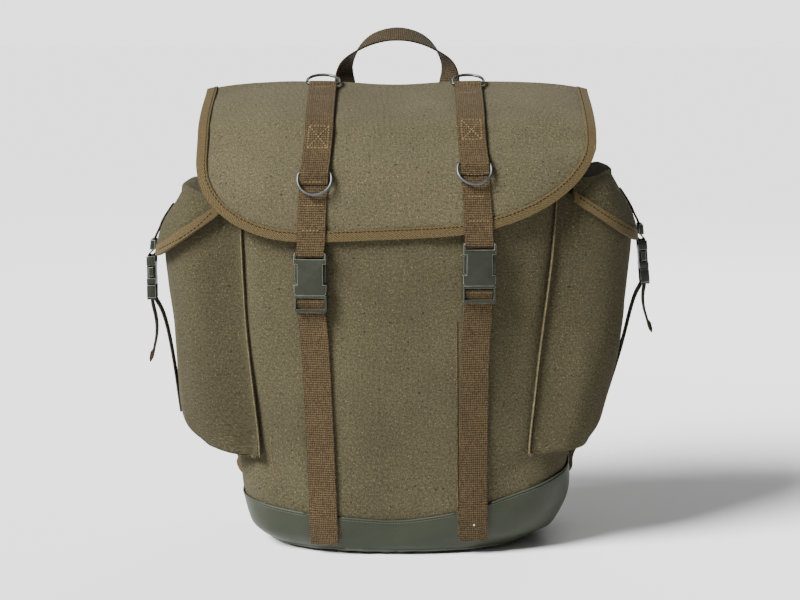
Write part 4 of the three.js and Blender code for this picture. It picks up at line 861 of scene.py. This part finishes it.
tapes = dict(lid=makeTape("lid_binding", "lid_binding_tape", (-0.22, 0.09, 0.44)))
for name, side in sides.items():
    tapes[name] = makeTape(
        f"pocket_lid_binding_{name}", f"pocket_lid_binding_{name}_tape", (side * 0.15, -0.1, 0.35)
    )
print("bindings made")


# steel rings and moulded buckles

def makeRing(nodeName):
    ring = copyNode(nodeName, f"{nodeName}_wire", 30)
    subdivide(ring, 2)
    shade(ring)
    return dress(ring, finishes["steel"], body=nodeName, nodes=[nodeName])


buckleEdges = dict(width=0.55 * mm, segments=2, limit=35, prongShare=0.5)


# the plug's prongs lie a little deeper than the faces of the socket round them
def recessProngs(plug, socket):
    low = min(v.co.z for v in socket.data.vertices) + 3 * mm
    prongs = [v for v in plug.data.vertices if v.co.z > low]
    middle = sum(v.co.y for v in prongs) / len(prongs)
    for vertex in prongs:
        vertex.co.y = middle + (vertex.co.y - middle) * buckleEdges["prongShare"]


def makeMoulded(nodeName, edges=buckleEdges):
    part = copyNode(nodeName, f"{nodeName}_moulding", 2)
    if nodeName.startswith("buckle_plug"):
        recessProngs(part, cadNodes[nodeName.replace("plug", "socket")])
    bpy.ops.object.mode_set(mode="EDIT")
    bpy.ops.mesh.select_all(action="SELECT")
    bpy.ops.mesh.dissolve_limited(angle_limit=math.radians(2))
    bpy.ops.object.mode_set(mode="OBJECT")
    bevel = part.modifiers.new("edges", "BEVEL")
    bevel.width = edges["width"]
    bevel.segments = edges["segments"]
    bevel.limit_method = "ANGLE"
    bevel.angle_limit = math.radians(edges["limit"])
    bevel.material = 1
    part.data.materials.append(finishes["plastic"])
    part.data.materials.append(finishes["rubbed"])
    applyModifiers(part)
    shade(part, 40)
    return dress(part, finishes["plastic"], nodes=[nodeName], edges=finishes["rubbed"])


for name in sides:
    for kind in ("top_ring", "d_ring"):
        makeRing(f"{kind}_{name}")
    for kind in (
        "buckle_socket", "buckle_plug", "pocket_buckle_socket", "pocket_buckle_plug",
        "pocket_keeper", "shoulder_adjuster",
    ):
        makeMoulded(f"{kind}_{name}")
print("rings and buckles made")


# padded shoulder straps, swollen by a cloth simulation

padFill = dict(voxel=5 * mm, pressure=4, frames=20, mostMove=5 * mm)


def makePad(name):
    pad = copyNode(f"shoulder_strap_{name}", f"shoulder_strap_{name}_pad")
    remesh = pad.modifiers.new("remesh", "REMESH")
    remesh.mode = "VOXEL"
    remesh.voxel_size = padFill["voxel"]
    applyModifiers(pad)
    rest = [v.co.copy() for v in pad.data.vertices]
    cloth = pad.modifiers.new("filling", "CLOTH")
    cloth.settings.use_pressure = True
    cloth.settings.uniform_pressure_force = padFill["pressure"]
    cloth.settings.effector_weights.gravity = 0
    for step in range(1, padFill["frames"] + 1):
        bpy.context.scene.frame_set(step)
    applyModifiers(pad)
    bpy.context.scene.frame_set(1)
    for vertex, place in zip(pad.data.vertices, rest):
        move = vertex.co - place
        if move.length > padFill["mostMove"]:
            vertex.co = place + move.normalized() * padFill["mostMove"]
        vertex.co = place.lerp(vertex.co, 0.6)
    setWeave(pad, [v.co.x for v in pad.data.vertices], [v.co.z for v in pad.data.vertices])
    subdivide(pad, 1)
    shade(pad)
    dress(pad, finishes["padCanvas"], nodes=[f"shoulder_strap_{name}"])
    return pad


pads = {name: makePad(name) for name in sides}
print("pads made")


# sewing: every stitch is a copy of one short capsule of thread

stitch = dict(length=2.7 * mm, gap=1.0 * mm, width=0.85 * mm, height=0.6 * mm, lift=0.2 * mm)


def makeStitchShape():
    bpy.ops.object.select_all(action="DESELECT")
    bpy.ops.mesh.primitive_uv_sphere_add(segments=6, ring_count=4, radius=0.5)
    shape = bpy.context.active_object
    bpy.ops.object.mode_set(mode="EDIT")
    bpy.ops.mesh.select_all(action="SELECT")
    bpy.ops.transform.rotate(value=math.pi / 2, orient_axis="Y", center_override=(0, 0, 0))
    bpy.ops.object.mode_set(mode="OBJECT")
    points = [v.co.copy() for v in shape.data.vertices]
    faces = [list(p.vertices) for p in shape.data.polygons]
    bpy.data.objects.remove(shape)
    return points, faces


stitchPoints, stitchFaces = makeStitchShape()


# runs are lists of (place, normal); stitches follow each run at an even pitch
def sew(pieceName, runs, material, scale=1.0):
    points, faces = [], []
    pitch = (stitch["length"] + stitch["gap"]) * scale
    for run in runs:
        reach = pitch / 2
        for (a, normalA), (b, normalB) in zip(run, run[1:]):
            length = (b - a).length
            if length < 1e-6 or length > 30 * mm:
                reach = pitch / 2
                continue
            while reach < length:
                share = reach / length
                normal = normalA.lerp(normalB, share).normalized()
                forward = (b - a).normalized()
                side = normal.cross(forward).normalized()
                forward = side.cross(normal)
                middle = a.lerp(b, share) + normal * stitch["lift"]
                start = len(points)
                for p in stitchPoints:
                    points.append(
                        middle + forward * p.x * stitch["length"] * scale
                        + side * p.y * stitch["width"] * scale + normal * p.z * stitch["height"]
                    )
                faces.extend([[start + i for i in face] for face in stitchFaces])
                reach += pitch
            reach -= length
    mesh = bpy.data.meshes.new(pieceName)
    mesh.from_pydata(points, [], faces)
    mesh.update()
    piece = bpy.data.objects.new(pieceName, mesh)
    bpy.context.scene.collection.objects.link(piece)
    pick(piece)
    bpy.ops.object.mode_set(mode="EDIT")
    bpy.ops.mesh.select_all(action="SELECT")
    bpy.ops.mesh.normals_make_consistent(inside=False)
    bpy.ops.object.mode_set(mode="OBJECT")
    shade(piece)
    return dress(piece, material)


trees = {}


def treeFor(piece):
    if piece.name not in trees:
        trees[piece.name] = treeOf(piece)
    return trees[piece.name]


# the nearest place that a line of sight meets on some pieces
def seen(pieces, px, py):
    origin, direction = sightLine(px, py)
    best = None
    for piece in pieces:
        hit = treeFor(piece).ray_cast(origin, direction)
        if hit[0] is not None and (best is None or hit[3] < best[2]):
            normal = hit[1] if hit[1].dot(direction) < 0 else -hit[1]
            best = (hit[0], normal, hit[3])
    return None if best is None else best[:2]


# a run through places of the photograph, in small steps
def runThrough(pieces, corners, step=1.5):
    run = []
    for (x0, y0), (x1, y1) in zip(corners, corners[1:]):
        count = max(int(math.hypot(x1 - x0, y1 - y0) / step), 1)
        for i in range(count + 1):
            share = i / count
            found = seen(pieces, x0 + (x1 - x0) * share, y0 + (y1 - y0) * share)
            if found:
                run.append(found)
    return run


# how wide a strap looks at a height of the photograph
def strapSpan(strap, px, py):
    inside = [px + i * 0.4 for i in range(-60, 61) if seen([strap], px + i * 0.4, py)]
    return (min(inside), max(inside)) if inside else None


def rowAcross(strap, px, py, inset=2.6, slope=0.0):
    span = strapSpan(strap, px, py)
    if not span:
        return []
    left, right = span[0] + inset, span[1] - inset
    return runThrough([strap], [(left, py - slope), (right, py + slope)])


def boxWithCross(strap, px, top, low, inset=4.2):
    a, b = strapSpan(strap, px, top), strapSpan(strap, px, low)
    corners = [(a[0] + inset, top), (a[1] - inset, top), (b[1] - inset, low), (b[0] + inset, low)]
    paths = [corners + corners[:1], [corners[0], corners[2]], [corners[1], corners[3]]]
    return [runThrough([strap], path) for path in paths]


# a run along a band, at a distance from its middle line, on the face that looks outward
def runAlongBand(nodeName, piece, offset, fromShare=0.0, toShare=1.0, outFrom=(0, 0.02, 0.25)):
    rows = bandRows[nodeName]
    total = rows[-1]["reach"]
    run = []
    for before, after in zip(rows, rows[1:]):
        for i in range(4):
            share = i / 4
            reach = before["reach"] + (after["reach"] - before["reach"]) * share
            if not fromShare * total <= reach <= toShare * total:
                continue
            middle = before["middle"].lerp(after["middle"], share)
            across = before["across"].lerp(after["across"], share).normalized()
            forward = (after["middle"] - before["middle"]).normalized()
            normal = forward.cross(across).normalized()
            if normal.dot(middle - Vector(outFrom)) < 0:
                normal.negate()
            start = middle + across * offset + normal * 5 * mm
            hit = treeFor(piece).ray_cast(start, -normal, 10 * mm)
            if hit[0] is not None:
                run.append((hit[0], hit[1] if hit[1].dot(normal) > 0 else -hit[1]))
    return run


strapSewing = dict(
    left=dict(
        middle={87: 321, 96: 319, 126: 314, 148: 312.5, 182: 313.5, 205: 311, 230: 310},
        rows=[87, 96.3, 182, 205.3, 230.5], box=(126, 147.8), foot=529,
    ),
    right=dict(
        middle={84: 468, 92: 470, 120: 473, 139: 477, 174: 481, 196: 483, 221: 485},
        rows=[84, 92.5, 174.5, 196.4, 221], box=(120, 139.4), foot=525,
    ),
)
lidRuns, lidDarkRuns = [], []
for name, plan in strapSewing.items():
    overlay, under = straps["overlay_strap", name], straps["lid_strap", name]
    body = straps["body_strap", name]
    for py in plan["rows"]:
        px = min(plan["middle"].items(), key=lambda item: abs(item[0] - py))[1]
        strap = overlay if seen([overlay], px, py) else under
        lidRuns.append(rowAcross(strap, px, py, 4.4))
    px = min(plan["middle"].items(), key=lambda item: abs(item[0] - plan["box"][0]))[1]
    lidRuns.extend(boxWithCross(overlay, px, *plan["box"]))
    for side in (-1, 1):
        lidDarkRuns.append(runAlongBand(f"overlay_strap_{name}", overlay, side * 10.6 * mm, 0.2, 0.97))
        lidDarkRuns.append(runAlongBand(f"lid_strap_{name}", under, side * 10.6 * mm, 0.5, 0.72))
    footX = 331.5 if name == "left" else 474
    lidDarkRuns.append(rowAcross(body, footX, plan["foot"], 2.6))
sew("strap_stitches", lidRuns, finishes["thread"])
sew("strap_side_stitches", lidDarkRuns, finishes["darkThread"], 0.8)

# the binding's seam lies near its inner edge
tapeRuns = [
    runAlongBand("lid_binding", tapes["lid"], -3.4 * mm),
    runThrough([tapes["left"]], [(158.5, 249.5), (180, 238.4), (197, 226.8), (212.5, 211.5)]),
    runThrough([tapes["right"]], [(579, 197), (600, 211.6), (620, 224.2), (634, 231.5)]),
]
sew("binding_stitches", tapeRuns, finishes["blackThreadAndGrooveShade"], 1.2)
print("stitches made")


# seams: raised edges along pockets and boot, each a thin cord under the cloth, coloured paler than the cloth round it
# as a painted highlight on the ridge

seams = dict(pocketEdge=0.85 * mm, bootEdge=0.8 * mm, bootWelt=1.9 * mm, webbingEdge=1.2 * mm)


def raisedEdge(pieceName, runs, radius, material, sink=0.3):
    curve = bpy.data.curves.new(pieceName, "CURVE")
    curve.dimensions = "3D"
    curve.bevel_depth = radius
    curve.bevel_resolution = 2
    curve.use_fill_caps = True
    for run in runs:
        if len(run) < 2:
            continue
        spline = curve.splines.new("POLY")
        spline.points.add(len(run) - 1)
        for point, (place, normal) in zip(spline.points, run):
            point.co = (*(place - normal * radius * sink), 1)
    made = bpy.data.objects.new(pieceName, curve)
    bpy.context.scene.collection.objects.link(made)
    pick(made)
    bpy.ops.object.convert(target="MESH")
    piece = bpy.context.active_object
    bpy.ops.object.mode_set(mode="EDIT")
    bpy.ops.mesh.select_all(action="SELECT")
    bpy.ops.mesh.remove_doubles(threshold=0.01 * mm)
    bpy.ops.mesh.normals_make_consistent(inside=False)
    bpy.ops.object.mode_set(mode="OBJECT")
    shade(piece)
    mesh = piece.data
    while mesh.uv_layers:
        mesh.uv_layers.remove(mesh.uv_layers[0])
    setWeave(piece, [v.co.x + v.co.y for v in mesh.vertices], [v.co.z for v in mesh.vertices])
    return dress(piece, material)


# a run moved sideways over its surface
def shifted(run, piece, toward, reach):
    moved = []
    for place, normal in run:
        side = (Vector(toward) - normal * Vector(toward).dot(normal)).normalized()
        start = place + side * reach + normal * 5 * mm
        hit = treeFor(piece).ray_cast(start, -normal, 12 * mm)
        if hit[0] is not None:
            moved.append((hit[0], hit[1] if hit[1].dot(normal) > 0 else -hit[1]))
    return moved


# the parts of a run that no front strap covers
def clearOfStraps(run, room=17.5 * mm):
    parts, part = [], []
    for place, normal in run:
        covered = place.y < 0 and any(abs(place.x - x) < room for x in footPlaces(place.z))
        if covered:
            parts.append(part)
            part = []
        else:
            part.append((place, normal))
    parts.append(part)
    return [p for p in parts if len(p) > 1]


def footPlaces(z):
    found = []
    for name in sides:
        rows = bandRows[f"body_strap_{name}"]
        row = min((r for r in rows if r["middle"].z < 0.2), key=lambda r: abs(r["middle"].z - z))
        found.append(row["middle"].x)
    return found


# stitches beside each pocket seam, coloured near black so that they also paint the shadow of the groove between the
# seam's raised edge and the pocket
pocketStitchShadeLine = []
for name, side in sides.items():
    front, rear = flanges[name]
    # the pocket seam's raised edge, coloured paler than the pocket as a painted highlight
    raisedEdge(f"pocket_{name}_seam", [front, rear], seams["pocketEdge"], finishes["seamCanvasHighlight"])
    pocketStitchShadeLine.append(shifted(front, pockets[name], (side, 0, 0), 2.6 * mm))
    pocketStitchShadeLine.append(shifted(rear, pockets[name], (0, -1, 0), 2.6 * mm))
sew("pocket_stitches_shadow_line", pocketStitchShadeLine, finishes["blackThreadAndGrooveShade"], 1.3)

bootLoop = bootTop + bootTop[:1]
# the boot's top edge, coloured paler than the boot as a painted highlight
raisedEdge("boot_edge", clearOfStraps(bootLoop), seams["bootEdge"], finishes["coatedEdgeHighlight"])
bootSewing = clearOfStraps(shifted(bootLoop, boot, (0, 0, -1), 2.6 * mm))
sew("boot_stitches", bootSewing, finishes["paleThread"], 0.72)


# the welt where the boot's wall meets its base, coloured paler than the boot as a painted highlight
def weltRun(z=5.2 * mm, steps=150):
    run = []
    for i in range(steps + 1):
        angle = 2 * math.pi * i / steps
        way = Vector((math.sin(angle), -math.cos(angle), 0))
        wave = 0.8 * mm * ripple((way.x * 0.2, way.y * 0.2, 0), 0.05, 2.2)
        hit = treeFor(boot).ray_cast(way * 0.5 + Vector((0, 0, z + wave)), -way)
        if hit[0] is not None:
            run.append((hit[0], way))
    return run


raisedEdge("boot_welt", [weltRun()], seams["bootWelt"], finishes["coatedEdgeHighlight"], 0.55)

# the under layer of each front strap shows as a narrow edge beside it
underLayers = [
    runThrough([bag, boot], [(457.2, 322), (457.4, 400), (457.6, 470), (459, 536)], 3),
    runThrough([bag, boot], [(326.5, 322), (328, 400), (331, 455), (336, 500), (341.5, 538)], 3),
]
raisedEdge("strap_under_edges", underLayers, seams["webbingEdge"], finishes["webbing"], 0.5)
panelSeam = [runThrough([bag], [(270.6, 437), (271.4, 455), (273.4, 472)], 1.5)]
sew("panel_stitches", panelSeam, finishes["thread"], 0.6)


# a small round knot of thread on the right strap's foot
def makeKnot():
    place, normal = seen([straps["body_strap", "right"]], 474, 525)
    bpy.ops.object.select_all(action="DESELECT")
    bpy.ops.mesh.primitive_uv_sphere_add(segments=16, ring_count=10, radius=1.1 * mm)
    knot = bpy.context.active_object
    knot.name = "strap_knot"
    knot.data.transform(Matrix.Diagonal((1, 0.6, 1, 1)))
    knot.data.transform(Matrix.Translation(place + normal * 0.3 * mm))
    knot.location = (0, 0, 0)
    shade(knot)
    return dress(knot, finishes["knot"])


makeKnot()
print("seams made")


# floor and light

studio = dict(floorColour=0.92, worldLight=0.1, backdrop=2.3)
sun = dict(strength=11.2, spread=26, azimuth=-55, elevation=40)
lamps = dict(
    fill=dict(place=(-1.4, -2.6, 0.9), size=2.2, power=7),
    rim=dict(place=(0.9, 1.9, 1.9), size=1.6, power=26),
)


def makeFloor():
    bpy.ops.object.select_all(action="DESELECT")
    bpy.ops.mesh.primitive_plane_add(size=40, location=(0, 0, -0.5 * mm))
    floor = bpy.context.active_object
    floor.name = "floor"
    finish = Finish("pale_floor", 0.95, specular=0.0)
    finish.shader.inputs["Base Color"].default_value = (*[studio["floorColour"]] * 3, 1)
    floor.data.materials.append(finish.material)


def makeLight(name, kind, place, toward):
    light = bpy.data.objects.new(name, bpy.data.lights.new(name, kind))
    light.location = place
    light.rotation_euler = (Vector(toward) - Vector(place)).to_track_quat("-Z", "Y").to_euler()
    bpy.context.scene.collection.objects.link(light)
    return light.data


makeFloor()
azimuth, elevation = math.radians(sun["azimuth"]), math.radians(sun["elevation"])
sunPlace = (
    3 * math.sin(azimuth) * math.cos(elevation),
    -3 * math.cos(azimuth) * math.cos(elevation),
    3 * math.sin(elevation),
)
key = makeLight("key", "SUN", sunPlace, (0, 0, 0))
key.energy = sun["strength"]
key.angle = math.radians(sun["spread"])
for name, lamp in lamps.items():
    light = makeLight(name, "AREA", lamp["place"], (0, 0, 0.27))
    light.energy = lamp["power"]
    light.size = lamp["size"]


# an even light all round, and a plain white backdrop where nothing stands
def makeWorld():
    world = bpy.data.worlds.new("world")
    bpy.context.scene.world = world
    world.use_nodes = True
    tree = world.node_tree
    around = tree.nodes["Background"]
    around.inputs[1].default_value = studio["worldLight"]
    around.inputs[0].default_value = (1, 1, 1, 1)
    backdrop = tree.nodes.new("ShaderNodeBackground")
    backdrop.inputs[0].default_value = (1, 1, 1, 1)
    backdrop.inputs[1].default_value = studio["backdrop"]
    mix = tree.nodes.new("ShaderNodeMixShader")
    tree.links.new(tree.nodes.new("ShaderNodeLightPath").outputs["Is Camera Ray"], mix.inputs[0])
    tree.links.new(around.outputs[0], mix.inputs[1])
    tree.links.new(backdrop.outputs[0], mix.inputs[2])
    tree.links.new(mix.outputs[0], tree.nodes["World Output"].inputs[0])


makeWorld()
